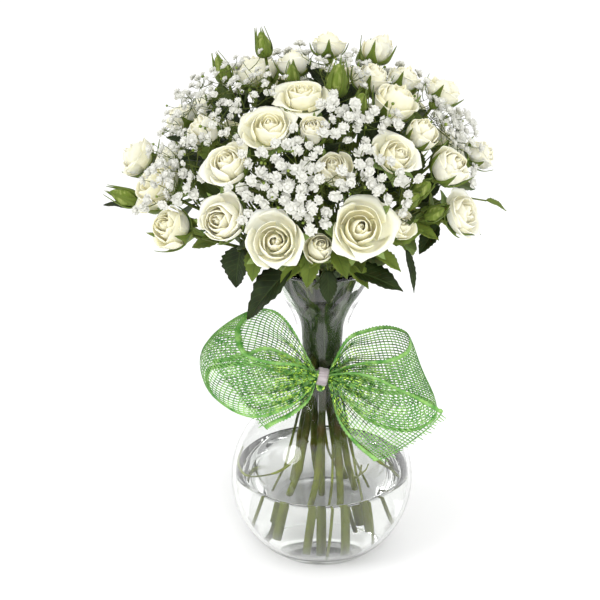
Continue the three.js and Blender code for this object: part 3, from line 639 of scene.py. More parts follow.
@dataclass
class Vase:
    """A glass ball that closes to a neck and opens in a trumpet, and the water in it."""

    bulb_radius: float = 0.065
    bulb_centre: float = 0.052
    shoulder: float = 0.109
    neck_radius: float = 0.0176
    neck_bottom: float = 0.124
    neck_top: float = 0.160
    trumpet: tuple = ((0.0189, 0.175), (0.0244, 0.189), (0.0337, 0.205), (0.0417, 0.224))
    wall: float = 0.0028
    floor: float = 0.007
    water_level: float = 0.060
    meniscus: float = 0.0012
    water_gap: float = 0.05 * MM
    base_overlap: float = 0.1 * MM
    punt: tuple = ((0.0, 1.2 * MM), (0.028, 1.0 * MM), (0.034, 0.0))
    rim_rise: float = 0.9 * MM
    steps: int = 96
    arc_steps: int = 30

    def bulb_arc(self, inset: float, low: float, high: float, count: int) -> list[Vector]:
        """Points of the ball's outline between two heights.

        Args:
            inset: Distance in from the outside of the glass.
            low: Height that it starts from.
            high: Height that it ends at.
            count: Steps between them.

        Returns:
            The points, from the bottom up.
        """
        radius = self.bulb_radius - inset
        start = math.asin((low - self.bulb_centre) / radius)
        end = math.asin((high - self.bulb_centre) / radius)
        angles = [lerp(start, end, i / count) for i in range(count + 1)]
        return [Vector((radius * math.cos(a), 0, self.bulb_centre + radius * math.sin(a))) for a in angles]

    def upper_wall(self, inset: float) -> list[Vector]:
        """Points of the outline from the shoulder to the rim.

        Args:
            inset: Distance in from the outside of the glass.

        Returns:
            The points, from the bottom up.
        """
        shoulder = self.bulb_arc(inset, self.shoulder - MM, self.shoulder, 1)[-1]
        neck = self.neck_radius - inset
        bend = Vector((neck + MM, 0, self.shoulder + 6 * MM))
        top = Vector((neck, 0, self.neck_bottom))
        fillet = [bezier(shoulder, shoulder.lerp(bend, 2 / 3), top.lerp(bend, 2 / 3), top, i / 10)
                  for i in range(1, 11)]
        route = [Vector((neck, 0, self.neck_top))]
        route += [Vector((radius - inset, 0, height)) for radius, height in self.trumpet]
        return fillet + [catmull_rom(route, i / 24) for i in range(25)]

    def turn(self, piece: Piece, outline: Sequence[Vector]) -> None:
        """Spins an outline round the vase's axis.

        Args:
            piece: Mesh that takes the turned shape.
            outline: Points of half its section, from axis to axis.
        """
        verts = [piece.bm.verts.new(point) for point in outline]
        edges = [piece.bm.edges.new(pair) for pair in zip(verts, verts[1:])]
        bmesh.ops.spin(piece.bm, geom=verts + edges, cent=(0, 0, 0), axis=UP, angle=math.tau,
                       steps=self.steps, use_merge=True)
        piece.closed()

    def build(self, finishes: Finishes) -> None:
        """Makes the glass and the water.

        Args:
            finishes: The object's materials.
        """
        self.add_glass(finishes)
        self.add_water(finishes)

    def add_glass(self, finishes: Finishes) -> None:
        """Makes the glass, whose shadow is left to the water.

        Args:
            finishes: The object's materials.
        """
        glass = Piece("vase_glass_body")
        outside = [Vector((radius, 0, height)) for radius, height in self.punt]
        outside += self.bulb_arc(0, 0, self.shoulder, self.arc_steps) + self.upper_wall(0)
        mouth, top = self.trumpet[-1]
        rim = Vector((mouth - self.wall / 2, 0, top + self.rim_rise))
        inside = [Vector((0, 0, self.floor))]
        inside += self.bulb_arc(self.wall, self.floor, self.shoulder, self.arc_steps)
        inside += self.upper_wall(self.wall)
        self.turn(glass, outside + [rim] + inside[::-1])
        body = glass.done([finishes.glass], ["vase"])
        body.visible_shadow = False

    def add_water(self, finishes: Finishes) -> None:
        """Makes the water, clear of the wall and just into the bottom of the glass.

        Args:
            finishes: The object's materials.
        """
        water = Piece("water_body")
        inset = self.wall + self.water_gap
        bed = self.floor - self.base_overlap
        wet = self.bulb_arc(inset, bed, self.water_level + self.meniscus, 24)
        edge = wet[-1].x
        surface = [Vector((edge - 1.2 * MM, 0, self.water_level + 0.3 * MM)),
                   Vector((edge - 3.5 * MM, 0, self.water_level)), Vector((0, 0, self.water_level))]
        self.turn(water, [Vector((0, 0, bed))] + wet + surface)
        water.done([finishes.water], ["water"])

    def inner_radius(self, height: float) -> float:
        """Inside radius of the neck and trumpet.

        Args:
            height: Height above the vase's base.

        Returns:
            The radius there, or the rim's above it.
        """
        wall = self.upper_wall(self.wall)
        for low, high in zip(wall, wall[1:]):
            if low.z <= height <= high.z and high.z > low.z:
                return lerp(low.x, high.x, (height - low.z) / (high.z - low.z))
        return wall[-1].x


# Layout of the bouquet

@dataclass(frozen=True)
class Seat:
    """Where a stem passes the neck, by azimuth and distance from the axis, and its radius."""

    name: str
    azimuth: float
    out: float
    radius: float


@dataclass(frozen=True)
class Layout:
    """Dome of flower heads and the lines of the stems, as the solids have them."""

    centre: Vector = Vector((-0.008, 0, 0.268))
    radius: float = 0.112
    rise: float = 0.092
    focus: Vector = Vector((-0.008, 0, 0.212))
    foot_spread: float = 2.25
    top_spread: float = 1.5
    top_run: float = 0.060
    twist: float = 220.0
    lean_start: float = 0.205
    lean_run: float = 0.100
    rose_fork_low: float = 0.196
    rose_fork_high: float = 0.230
    gyp_fork_low: float = 0.202
    gyp_fork_high: float = 0.226
    crown_reach: float = 12.0
    neck_bottom: float = 0.124
    neck_top: float = 0.160
    ring_count: int = 7
    ring_turn: float = 12.0
    rose_out: float = 8.6 * MM
    rose_radius: float = 2.35 * MM
    spray_out: float = 12 * MM
    spray_radius: float = 1.0 * MM

    def on_dome(self, azimuth: float, lift: float, reach: float) -> Vector:
        """Place on the dome.

        Args:
            azimuth: Its azimuth in degrees.
            lift: Angle above the dome's equator in degrees.
            reach: Share of the dome's size at which it lies.

        Returns:
            The place.
        """
        angle = math.radians(lift)
        offset = polar(azimuth, self.radius * math.cos(angle), self.rise * math.sin(angle))
        return self.centre + offset * reach

    def spread(self, height: float) -> float:
        """How much wider the stems stand than in the neck.

        Args:
            height: Height above the vase's base.

        Returns:
            Factor on their distance from the axis.
        """
        if height < self.neck_bottom:
            return 1 + self.foot_spread * ((self.neck_bottom - height) / self.neck_bottom) ** 0.95
        if height > self.neck_top:
            return 1 + self.top_spread * ((height - self.neck_top) / self.top_run) ** 1.6
        return 1.0

    def stem_point(self, seat: Seat, height: float) -> Vector:
        """Where a stem stands at a height.

        Args:
            seat: The stem's seat in the neck.
            height: Height above the vase's base.

        Returns:
            Middle of the stem there.
        """
        lean = smoothstep(height, self.lean_start, self.lean_start + self.lean_run)
        azimuth = seat.azimuth + self.twist * (height - self.neck_top)
        return polar(azimuth, seat.out * self.spread(height), height) + Vector((self.centre.x * lean, 0, 0))

    def heading(self, seat: Seat, height: float) -> Vector:
        """Direction of a stem at a height."""
        return (self.stem_point(seat, height + MM) - self.stem_point(seat, height)).normalized()

    def rose_seats(self) -> list[Seat]:
        """Seats of the rose stems.

        Returns:
            One seat in the middle and a ring round it.
        """
        turns = [self.ring_turn + 360 * i / self.ring_count for i in range(self.ring_count)]
        places = [(0.0, 0.0)] + [(turn, self.rose_out) for turn in turns]
        return [Seat(f"rose_stem_{i + 1}", turn, out, self.rose_radius)
                for i, (turn, out) in enumerate(places)]

    def spray_seats(self) -> list[Seat]:
        """Seats of the gypsophila stems, between the rose stems."""
        turns = [self.ring_turn + 360 * (i + 0.5) / self.ring_count for i in range(self.ring_count - 1)]
        return [Seat(f"gypsophila_{i + 1}", turn, self.spray_out, self.spray_radius)
                for i, turn in enumerate(turns)]

    def nearest(self, place: Vector, seats: Sequence[Seat]) -> Seat:
        """Seat whose stem stands nearest below a place in the crown.

        Args:
            place: Place in the crown.
            seats: Seats to choose from.

        Returns:
            The nearest one.
        """
        def away(seat: Seat) -> float:
            """Level distance from the place to the line of a seat's stem.

            Args:
                seat: The seat.

            Returns:
                The distance.
            """
            azimuth = seat.azimuth + self.twist * (self.rose_fork_low - self.neck_top)
            stem = polar(azimuth, seat.out * self.crown_reach) + self.centre
            return (stem.xy - place.xy).length

        return min(seats, key=away)

    def stem_route(self, seat: Seat, foot: float, top: float, count: int) -> list[Vector]:
        """Points of a whole stem."""
        return [self.stem_point(seat, lerp(foot, top, i / count)) for i in range(count + 1)]

    def branch(self, seat: Seat, height: float, end: Vector, arrival: Vector, count: int) -> list[Vector]:
        """Points of a branch from a fork on a stem.

        Args:
            seat: The stem's seat in the neck.
            height: Height of the fork.
            end: Where the branch ends.
            arrival: Direction in which it gets there.
            count: Steps between the two.

        Returns:
            The points, from the fork up.
        """
        start = self.stem_point(seat, height - MM)
        reach = (end - start).length / 3
        first = start + self.heading(seat, height) * reach
        second = end - arrival * reach
        return [bezier(start, first, second, end, i / count) for i in range(count + 1)]


@dataclass(frozen=True)
class Head:
    """A flower head: its foot, direction and size."""

    name: str
    foot: Vector
    axis: Vector
    radius: float
    height: float
    openness: float
    seed: int

    @property
    def centre(self) -> Vector:
        """Middle of the head."""
        return self.foot + self.axis * (self.height / 2)


# Height over width of a fully open rose and of a tight one
OPEN_SHAPE = 0.485
BUD_SHAPE = 0.876


def read_head(name: str, seed: int, focus: Vector) -> Head:
    """Measures a rose's solid.

    Args:
        name: CAD node of the rose.
        seed: Number that its draws start from.
        focus: Point that all heads face away from.

    Returns:
        The rose's head.
    """
    points = [vertex.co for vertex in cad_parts[name].data.vertices]
    low, high = (Vector(corner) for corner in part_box(name))
    axis = ((low + high) / 2 - focus).normalized()
    foot = min(points, key=lambda point: point.dot(axis)).copy()
    height = max((point - foot).dot(axis) for point in points)
    radius = max((point - foot).cross(axis).length for point in points)
    openness = (BUD_SHAPE - height / (2 * radius)) / (BUD_SHAPE - OPEN_SHAPE)
    return Head(name, foot, axis, radius, height, min(1.0, max(0.0, openness)), seed)


# Seed of the first green bud's draws
BUD_SEED = 200

# Azimuth, lift, reach and diameter in mm of each closed green bud
GREEN_BUDS = (
    (-144, 64, 1.14, 15), (-124, 52, 1.07, 16), (34, 75, 1.05, 20), (-75, 83, 0.98, 12), (47, 22, 0.95, 15),
    (-86, 2, 1.14, 17), (36, 62, 1.02, 15), (152, 50, 1.1, 13), (-176, 28, 1.1, 13), (41, 19, 0.93, 15),
    (53, 9, 0.92, 14),
)


def green_buds(layout: Layout) -> list[Head]:
    """Places the closed buds.

    Args:
        layout: Lines of the bouquet.

    Returns:
        Their heads.
    """
    buds = []
    for i, (azimuth, lift, reach, diameter) in enumerate(GREEN_BUDS):
        centre = layout.on_dome(azimuth, lift, reach)
        axis = (centre - layout.focus).normalized()
        radius = diameter * MM / 2
        foot = centre - axis * 0.92 * radius
        buds.append(Head(f"bud_{i + 1}", foot, axis, radius, 2.2 * radius, 0.0, BUD_SEED + i))
    return buds


# Roses

@dataclass(frozen=True)
class Whorl:
    """A group of like petals, each range from its first to its last, in shares of the bloom's size.

    The rim is its distance out at the top, the top its height, the belly its widest distance out, half
    how far it reaches round to each side in radians, and curl how far its rim rolls outwards.
    """

    count: int
    rim: tuple[float, float]
    top: tuple[float, float]
    belly: tuple[float, float]
    half: float
    curl: float

    def blend(self, other: "Whorl", share: float) -> "Whorl":
        """Whorl between this one and another.

        Args:
            other: The other one.
            share: How much of the other one there is.

        Returns:
            The whorl.
        """
        def pair(name: str) -> tuple[float, float]:
            """Range between those of the two whorls."""
            mine, yours = getattr(self, name), getattr(other, name)
            return (lerp(mine[0], yours[0], share), lerp(mine[1], yours[1], share))

        return Whorl(self.count, pair("rim"), pair("top"), pair("belly"), lerp(self.half, other.half, share),
                     lerp(self.curl, other.curl, share))


BUD_WHORLS = (
    Whorl(5, (0.0, 0.18), (0.96, 1.00), (0.20, 0.45), 1.75, 0.0),
    Whorl(7, (0.22, 0.48), (1.00, 0.93), (0.50, 0.86), 1.2, 0.25),
    Whorl(5, (0.55, 0.78), (0.90, 0.74), (0.90, 0.97), 0.95, 0.8),
)
OPEN_WHORLS = (
    Whorl(5, (0.0, 0.17), (1.00, 0.96), (0.14, 0.36), 1.75, 0.0),
    Whorl(7, (0.20, 0.56), (0.98, 0.88), (0.40, 0.76), 1.15, 0.45),
    Whorl(5, (0.76, 1.00), (0.84, 0.66), (0.80, 0.95), 1.0, 1.05),
)


@dataclass
class Rose:
    """One bloom of overlapping petals round a wound heart."""

    head: Head
    columns: int = 10
    rows: int = 9
    petal_thickness: float = 0.22 * MM
    turn_between: float = 2.42
    heart_tilt: float = 0.19
    core_wrap: float = 3.4
    tight_warmth: float = 0.42
    curl_from: float = 0.70
    curl_out: float = 0.17
    curl_down: float = 0.13
    tip_width: float = 0.22
    most_drops: int = 3

    def build(self, finishes: Finishes, dew: Piece) -> None:
        """Makes the bloom from its heart outwards.

        Args:
            finishes: The object's materials.
            dew: Mesh that takes the drops on the guard petals.
        """
        head = self.head
        draw = random.Random(head.seed)
        piece = Piece(head.name + "_bloom")
        place = Matrix.Translation(head.foot) @ turn_to(head.axis, draw.random() * math.tau)
        tilt = Matrix.Rotation(self.heart_tilt * draw.uniform(0.3, 1.0), 4, "X")
        whorls = [bud.blend(wide, head.openness) for bud, wide in zip(BUD_WHORLS, OPEN_WHORLS)]
        total = sum(whorl.count for whorl in whorls)
        fade = 1 - self.tight_warmth * (1 - head.openness)
        number = 0
        for level, whorl in enumerate(whorls):
            base = place @ tilt if level < 2 else place
            for i in range(whorl.count):
                turn = number * self.turn_between + draw.uniform(-0.22, 0.22)
                wrap = self.core_wrap if number == 0 else whorl.half
                petal = self.petal(whorl, i / (whorl.count - 1), turn, wrap, draw)
                tone = 1 - fade * number / (total - 1)
                piece.sheet(self.columns, self.rows, lambda u, v, p=petal, m=base: m @ p(u, v), tone)
                number += 1
                if level == 2:
                    self.add_dew(dew, base, petal, draw)
        piece.done([finishes.petal], [head.name], self.petal_thickness)

    def add_dew(self, dew: Piece, base: Matrix, petal: Surface, draw: random.Random) -> None:
        """Adds a few drops to one petal.

        Args:
            dew: Mesh that takes the drops.
            base: Place of the bloom.
            petal: The petal's shape.
            draw: Source of their places.
        """
        for _ in range(draw.randint(0, self.most_drops)):
            u, v = draw.uniform(-0.7, 0.7), draw.uniform(0.35, 0.8)
            place = base @ petal(u, v)
            along, across = base @ petal(u, v + 0.02) - place, base @ petal(u + 0.02, v) - place
            normal = across.cross(along).normalized()
            radius = draw.uniform(0.35, 0.85) * MM
            dew.ball(place + normal * (radius * 0.3 + self.petal_thickness / 2), radius, 2)

    def petal(self, whorl: Whorl, share: float, turn: float, wrap: float, draw: random.Random) -> Surface:
        """Shape of one petal.

        Args:
            whorl: Group that it belongs to.
            share: Its place in the group, from 0 to 1.
            turn: Where it stands round the axis, in radians.
            wrap: How far it reaches round the axis to each side, in radians.
            draw: Source of its small differences.

        Returns:
            Function from across and along to a place in the bloom's own frame.
        """
        size, tall = self.head.radius, self.head.height
        belly = size * lerp(*whorl.belly, share) * draw.uniform(0.96, 1.04)
        rim = size * lerp(*whorl.rim, share) * draw.uniform(0.93, 1.07)
        top = tall * lerp(*whorl.top, share) * draw.uniform(0.92, 1.05)
        curl = whorl.curl * draw.uniform(0.6, 1.25)
        phase, tip = draw.uniform(0, math.tau), draw.uniform(0.04, 0.09) * (1 + min(1.0, whorl.curl))
        lean = draw.uniform(-0.45, 0.45)
        knots = [Vector((0.10 * size, 0.02 * tall)), Vector((belly * 0.95, 0.03 * tall)),
                 Vector((belly * 1.06, top * 0.62)), Vector((rim, top))]

        def shape(u: float, v: float) -> Vector:
            """Place on the petal, with one side tucked in, a pointed tip and a rippled, rolled rim.

            Args:
                u: Place across it, from -1 to 1.
                v: Place along it, from 0 to 1.

            Returns:
                The place.
            """
            point = tip * math.exp(-((u - lean) / self.tip_width) ** 2)
            height = v * (1 - 0.04 * u * u - 0.16 * u**4 + point)
            radius, z = bezier(*knots, height)
            spread = 0.35 + 0.65 * math.sin(min(1.0, 1.2 * v) * math.pi / 2)
            rolled = max(0.0, (height - self.curl_from) / (1 - self.curl_from)) ** 2 * curl
            radius += rolled * self.curl_out * size
            z -= rolled * self.curl_down * tall
            radius *= 1 + lerp(0.10, 0.05, share) * u
            ripple = math.sin(3.4 * u + phase) + 0.5 * math.sin(8.3 * u + 2 * phase)
            radius += (0.012 + 0.022 * min(1.0, whorl.curl)) * size * ripple * v**4
            angle = turn + wrap * spread * u
            return Vector((radius * math.cos(angle), radius * math.sin(angle), z))

        return shape


# Rose stems, leaves and cups

class Age(Enum):
    """How light a leaf is."""

    OLD = 0.0
    GROWN = 0.25
    YOUNG = 0.8


@dataclass(frozen=True)
class Blade:
    """A toothed leaf blade."""

    length: float
    width: float
    age: Age = Age.OLD
    bend: float = 0.14
    fold: float = 0.35
    teeth: int = 8

    def shape(self, place: Matrix) -> Surface:
        """Shape of the blade.

        Args:
            place: Where its foot is, with Y along it and Z up from it.

        Returns:
            Function from across and along to a place.
        """
        rows = self.teeth * 2

        def surface(u: float, v: float) -> Vector:
            """Place on the blade, folded at its midrib, rippled and drooping to its tip.

            Args:
                u: Place across it, from -1 to 1.
                v: Place along it, from 0 to 1.

            Returns:
                The place.
            """
            half = self.width / 2 * max(0.03, math.sin(math.pi * min(1.0, v + 0.02) ** 0.75) ** 0.8)
            if abs(u) > 0.99 and 0.1 < v < 0.95:
                half *= 1.07 if round(v * rows) % 2 else 0.93
            ripple = 0.03 * self.width * math.sin(v * 13 + (2 if u > 0 else 0)) * abs(u)
            drop = self.length * self.bend * v * v
            rise = self.fold * half * abs(u) + ripple - drop
            return place @ Vector((half * u, self.length * v * (1 - 0.06 * v), rise))

        return surface

    def add(self, piece: Piece, place: Matrix) -> None:
        """Adds the blade with its foot at a place."""
        piece.sheet(6, self.teeth * 2, self.shape(place), self.age.value)


# Azimuth, distance out and height of each foot, length and width in mm, then heading and pitch
LEAVES = (
    (-41, 83, 257, 29, 23, -40, -70), (-15, 83, 250, 48, 25, -75, -42), (13, 87, 250, 37, 20, 72, -10),
    (2, 75, 246, 25, 12, 10, -78), (38, 88, 258, 32, 7, 60, -70), (56, 92, 268, 24, 13, -60, -45),
    (-87, 126, 262, 26, 12, -100, 10),
    (-60, 20, 202, 36, 18, -60, 66), (20, 20, 202, 36, 18, 20, 66), (80, 20, 202, 36, 18, 80, 66),
    (150, 20, 202, 36, 18, 150, 66), (-132, 20, 202, 36, 18, -132, 66),
    (155, 80, 248, 40, 20, 165, -50), (-146, 86, 248, 42, 21, -138, -45), (110, 82, 252, 32, 16, 125, -32),
    (-110, 94, 250, 35, 18, -128, -48),
)
PALE_LEAVES = (
    (0, 82, 268, 24, 15, -25, -15), (4, 84, 266, 24, 14, 35, -40), (-5, 80, 262, 26, 14, -20, -55),
    (9, 82, 258, 28, 14, 55, -35), (-9, 80, 256, 24, 14, -60, -30), (22, 86, 262, 24, 13, 70, -25),
    (-50, 84, 262, 18, 10, -90, 0), (-62, 88, 266, 20, 11, -75, -5),
    (-30, 86, 262, 24, 14, -20, -50), (80, 112, 273, 17, 9, 95, -22), (56, 78, 276, 26, 15, 70, -8),
    (44, 80, 270, 24, 14, 75, -12),
)


@dataclass(frozen=True)
class Leaf:
    """A leaf's foot, size in metres, direction and age."""

    foot: Vector
    length: float
    width: float
    heading: Vector
    age: Age


def outer_leaves() -> list[Leaf]:
    """Places the large leaves.

    Returns:
        The dark leaves and then the pale ones.
    """
    leaves = []
    for azimuth, out, height, length, width, turn, pitch in LEAVES + PALE_LEAVES:
        level, rise = math.cos(math.radians(pitch)), math.sin(math.radians(pitch))
        age = Age.OLD if len(leaves) < len(LEAVES) else Age.YOUNG
        foot = polar(azimuth, out * MM, height * MM)
        leaves.append(Leaf(foot, length * MM, width * MM, polar(turn, level, rise), age))
    return leaves


def inner_leaves(layout: Layout, heads: Sequence[Head], count: int = 120, seed: int = 31) -> list[Leaf]:
    """Dark leaves under the blooms, which fill the crown.

    Args:
        layout: Lines of the bouquet.
        heads: Flower heads that the leaves keep clear of.
        count: How many places are tried.
        seed: Seed of their draws.

    Returns:
        The leaves that fit.
    """
    draw = random.Random(seed)
    leaves = []
    for _ in range(count):
        azimuth, lift = draw.uniform(-180, 180), math.degrees(math.asin(draw.uniform(0.02, 0.98)))
        foot = layout.on_dome(azimuth, lift, draw.uniform(0.58, 0.80))
        outward = (foot - layout.focus).normalized()
        side = polar(draw.uniform(-180, 180), 1.0, draw.uniform(-0.4, 0.4))
        heading = (outward * 0.8 + side * 0.8).normalized()
        length = draw.uniform(22, 34) * MM
        tip = foot + heading * length
        if any(min((p - head.centre).length for p in (foot, tip)) < head.radius for head in heads):
            continue
        age = Age.OLD if draw.random() < 0.65 else Age.GROWN
        leaves.append(Leaf(foot, length, length * draw.uniform(0.45, 0.58), heading, age))
    return leaves


@dataclass
class RoseStem:
    """One rose stem with its branches, cups, buds and leaves."""

    seat: Seat
    layout: Layout
    heads: list[Head]
    leaves: list[Leaf]
    branch_radius: float = 1.2 * MM
    bark_steps: int = 34
    cut_height: float = 7.6 * MM
    cut_spread: float = 13.0 * MM
    blade_thickness: float = 0.4 * MM
    nodes_at: tuple = (0.071, 0.098, 0.172)
    node_reach: float = 2.4 * MM
    sprigs_at: tuple = (3, 5, 6, 8)
    leaf_stalk: float = 0.95 * MM

    def build(self, finishes: Finishes) -> None:
        """Makes the bark piece and the leaf piece.

        Args:
            finishes: The object's materials.
        """
        draw = random.Random(self.seat.name)
        bark = Piece(self.seat.name + "_bark")
        green = Piece(self.seat.name + "_leaves")
        self.add_stem(bark, draw)
        sprouts = sorted(self.heads, key=lambda head: head.centre.z)
        for i, head in enumerate(sprouts):
            share = i / (len(sprouts) - 1) if len(sprouts) > 1 else 1.0
            height = lerp(self.layout.rose_fork_low, self.layout.rose_fork_high, share)
            end = head.foot - head.axis * 0.2 * head.radius
            route = self.layout.branch(self.seat, height, end, head.axis, 10)
            radii = [self.branch_radius * lerp(1.15, 0.85, k / 10) for k in range(11)]
            bark.tube(route, radii, 7, 0.3)
            self.add_cup(bark, green, head, draw)
            self.add_sprig(bark, green, route, draw)
        for leaf in self.leaves:
            self.add_leaf(bark, green, leaf)
        bark.closed()
        bark.done([finishes.stem], [self.seat.name])
        green.done([finishes.leaf, finishes.underside], (), self.blade_thickness)

    def add_stem(self, bark: Piece, draw: random.Random) -> None:
        """Adds the thick stem, a little swollen at its nodes.

        Args:
            bark: Mesh that takes it.
            draw: Source of its small differences.
        """
        foot = self.cut_height + draw.uniform(0.1, 1.0) * (self.cut_spread if self.seat.out else MM)
        route = self.layout.stem_route(self.seat, foot, self.layout.rose_fork_high, self.bark_steps)
        offset = draw.uniform(-0.012, 0.012)

        def swell(height: float) -> float:
            """How much of a node there is at a height."""
            away = (height - node - offset for node in self.nodes_at)
            return sum(math.exp(-((gap / self.node_reach) ** 2)) for gap in away)

        size = self.seat.radius * draw.uniform(0.98, 1.16)
        bark.tube(route, [size * (1 + 0.25 * swell(p.z) + draw.uniform(-0.03, 0.03)) for p in route], 12)
        for vert in bark.bm.verts:
            vert[bark.layers["across"]] = min(1.0, swell(vert.co.z))

    def add_cup(self, bark: Piece, green: Piece, head: Head, draw: random.Random) -> None:
        """Adds the swollen cup under a head and its five sepals.

        Args:
            bark: Mesh that takes the cup.
            green: Mesh that takes the sepals.
            head: The rose or bud.
            draw: Source of its small differences.
        """
        size = head.radius
        place = Matrix.Translation(head.foot) @ turn_to(head.axis, draw.random() * math.tau)
        cup = bark.ball(Vector(), 1.0, 2, 0.9)
        bud = head.name.startswith("bud")
        wide, tall = (0.74, 1.25) if bud else (0.30, 0.34)
        centre = tall * 0.72 if bud else -0.12
        for vert in cup:
            x, y, z = vert.co
            girth = wide * (1 - 0.45 * max(0.0, z) if bud else 1.0)
            vert.co = place @ (Vector((x * girth, y * girth, centre + z * tall)) * size)
        length = 2.5 if bud else lerp(1.5, 1.15, head.openness)
        for i in range(5):
            turn = math.tau * i / 5 + draw.uniform(-0.12, 0.12)
            green.sheet(4, 9, self.sepal(head, place, turn, length, bud, draw), 0.8)

    @staticmethod
    def sepal(head: Head, place: Matrix, turn: float, length: float, bud: bool,
              draw: random.Random) -> Surface:
        """Shape of one long pointed sepal that hugs a bud or bends away from an open rose.

        Args:
            head: The rose or bud.
            place: Where the head's foot is, with Z along the head.
            turn: Where the sepal stands round the head, in radians.
            length: How broad its foot is, more on a long one.
            bud: Whether the head is a green bud.
            draw: Source of its small differences.

        Returns:
            Function from across and along to a place.
        """
        size = head.radius
        bent = 0.0 if bud else smoothstep(head.openness, 0.2, 0.9) * draw.uniform(0.2, 0.85)
        hug = [(0.12, -0.08), (0.86, 0.0), (1.08, 0.6), (0.98, 1.3)]
        if bud:
            hug = [(0.12, -0.30), (1.05, -0.1), (0.92, 1.0), (0.20, 2.55)]
        away = [(0.12, -0.08), (0.70, -0.08), (1.0, -0.25), (1.15, -0.62)]
        knots = [Vector((lerp(a[0], b[0], bent), lerp(a[1], b[1], bent))) * size for a, b in zip(hug, away)]
        flare = draw.uniform(0.0, 0.45 if bud else 0.25) * size

        def surface(u: float, v: float) -> Vector:
            """Place on the sepal, which narrows to its tip.

            Args:
                u: Place across it, from -1 to 1.
                v: Place along it, from 0 to 1.

            Returns:
                The place.
            """
            radius, z = bezier(*knots, v)
            radius += flare * max(0.0, v - 0.6) ** 2 * 4 + 0.02 * size
            half = 0.34 * size * (1 - v) ** 0.7 * (0.75 + 0.5 * math.sin(math.pi * min(1.0, v * 1.6)))
            half += 0.03 * size * length * (1 - v)
            x, y = radius - 0.12 * half * u * u, half * u
            cos, sin = math.cos(turn), math.sin(turn)
            return place @ Vector((x * cos - y * sin, x * sin + y * cos, z))

        return surface

    def add_sprig(self, bark: Piece, green: Piece, route: Sequence[Vector], draw: random.Random) -> None:
        """Adds the small leaves that grow along a branch.

        Args:
            bark: Mesh that takes their stalks.
            green: Mesh that takes their blades.
            route: Points of the branch.
            draw: Source of their places and sizes.
        """
        for share in self.sprigs_at:
            start = route[share]
            ahead = (route[share + 1] - route[share - 1]).normalized()
            side = ahead.orthogonal()
            side.rotate(Quaternion(ahead, draw.random() * math.tau))
            heading = (ahead * 0.9 + side * 0.7).normalized()
            foot = start + heading * draw.uniform(5, 9) * MM
            bark.tube([start, start.lerp(foot, 0.5), foot], [0.6 * MM, 0.5 * MM, 0.45 * MM], 5, 0.5)
            length = draw.uniform(17, 28) * MM
            age = Age.GROWN if draw.random() < 0.6 else Age.YOUNG
            blade = Blade(length, length * draw.uniform(0.42, 0.55), age, 0.1, 0.45, 6)
            blade.add(green, frame_matrix(foot, heading, start - self.layout.centre + UP * 0.02))

    def add_leaf(self, bark: Piece, green: Piece, leaf: Leaf) -> None:
        """Adds a large leaf and its stalk.

        Args:
            bark: Mesh that takes the stalk.
            green: Mesh that takes the blade.
            leaf: The leaf.
        """
        height = self.layout.rose_fork_low
        route = self.layout.branch(self.seat, height - 3 * MM, leaf.foot, leaf.heading, 8)
        bark.tube(route, [self.leaf_stalk - 0.05 * MM * k for k in range(9)], 6, 0.4)
        outward = Vector((leaf.foot.x, leaf.foot.y, 0.0)).normalized()
        blade = Blade(leaf.length, leaf.width, leaf.age)
        blade.add(green, frame_matrix(leaf.foot, leaf.heading, UP + outward * 0.3))


@dataclass
class FlareLeaves:
    """Leaves that lie against the inside of the vase's trumpet."""

    vase: Vase
    count: int = 14
    low: float = 0.150
    high: float = 0.214
    width: float = 0.023
    inset: float = 1.0 * MM
    step_in: float = 1.3 * MM
    rows: int = 16
    thickness: float = 0.4 * MM
    seed: int = 77

    def build(self, finishes: Finishes) -> None:
        """Makes the leaves as one piece, in three layers, each fourth one with its underside to the glass.

        Args:
            finishes: The object's materials.
        """
        draw = random.Random(self.seed)
        piece = Piece("flare_leaves")
        for i in range(self.count):
            azimuth = 360 * i / self.count + draw.uniform(-9, 9)
            low = self.low + draw.uniform(-6, 14) * MM
            high = self.high + draw.uniform(-20, 2) * MM
            deeper = self.inset + (i % 3) * self.step_in
            blade = self.blade(azimuth, low, high, deeper)
            facing = -1 if i % 4 == 1 else 1
            piece.sheet(8, self.rows, lambda u, v, b=blade, s=facing: b(s * u, v), Age.OLD.value)
        piece.done([finishes.leaf, finishes.underside], (), self.thickness)

    def blade(self, azimuth: float, low: float, high: float, inset: float) -> Surface:
        """Shape of one leaf that follows the glass.

        Args:
            azimuth: Azimuth of its midrib.
            low: Height of its foot.
            high: Height of its tip.
            inset: Distance in from the glass.

        Returns:
            Function from across and along to a place.
        """
        def surface(u: float, v: float) -> Vector:
            """Place on the leaf, with a toothed edge.

            Args:
                u: Place across it, from -1 to 1.
                v: Place along it, from 0 to 1.

            Returns:
                The place.
            """
            height = lerp(low, high, v)
            radius = self.vase.inner_radius(height) - inset
            half = self.width / 2 * math.sin(math.pi * (0.04 + 0.96 * v) ** 0.8) ** 0.8
            if abs(u) > 0.99:
                half *= 1.06 if round(v * self.rows) % 2 else 0.94
            return polar(azimuth + math.degrees(half * u / max(radius, half)), radius, height)

        return surface


# Points of each side shoot in mm
SHOOTS = (
    ((-10, -8, 84), (-24, -10, 65), (-40, -14, 58.5), (-53, -16, 60), (-59, -8, 66), (-57, 8, 71)),
    ((9, 4, 92), (22, 6, 78), (36, 4, 66), (49, 0, 55), (56, -4, 44)),
    ((24, -13, 52), (27, -14, 60), (28, -15, 68)),
    ((27, -14, 60), (31, -15, 64), (33, -15, 69)),
    ((25, -13.5, 55), (22, -16, 60), (22, -17, 65)),
)


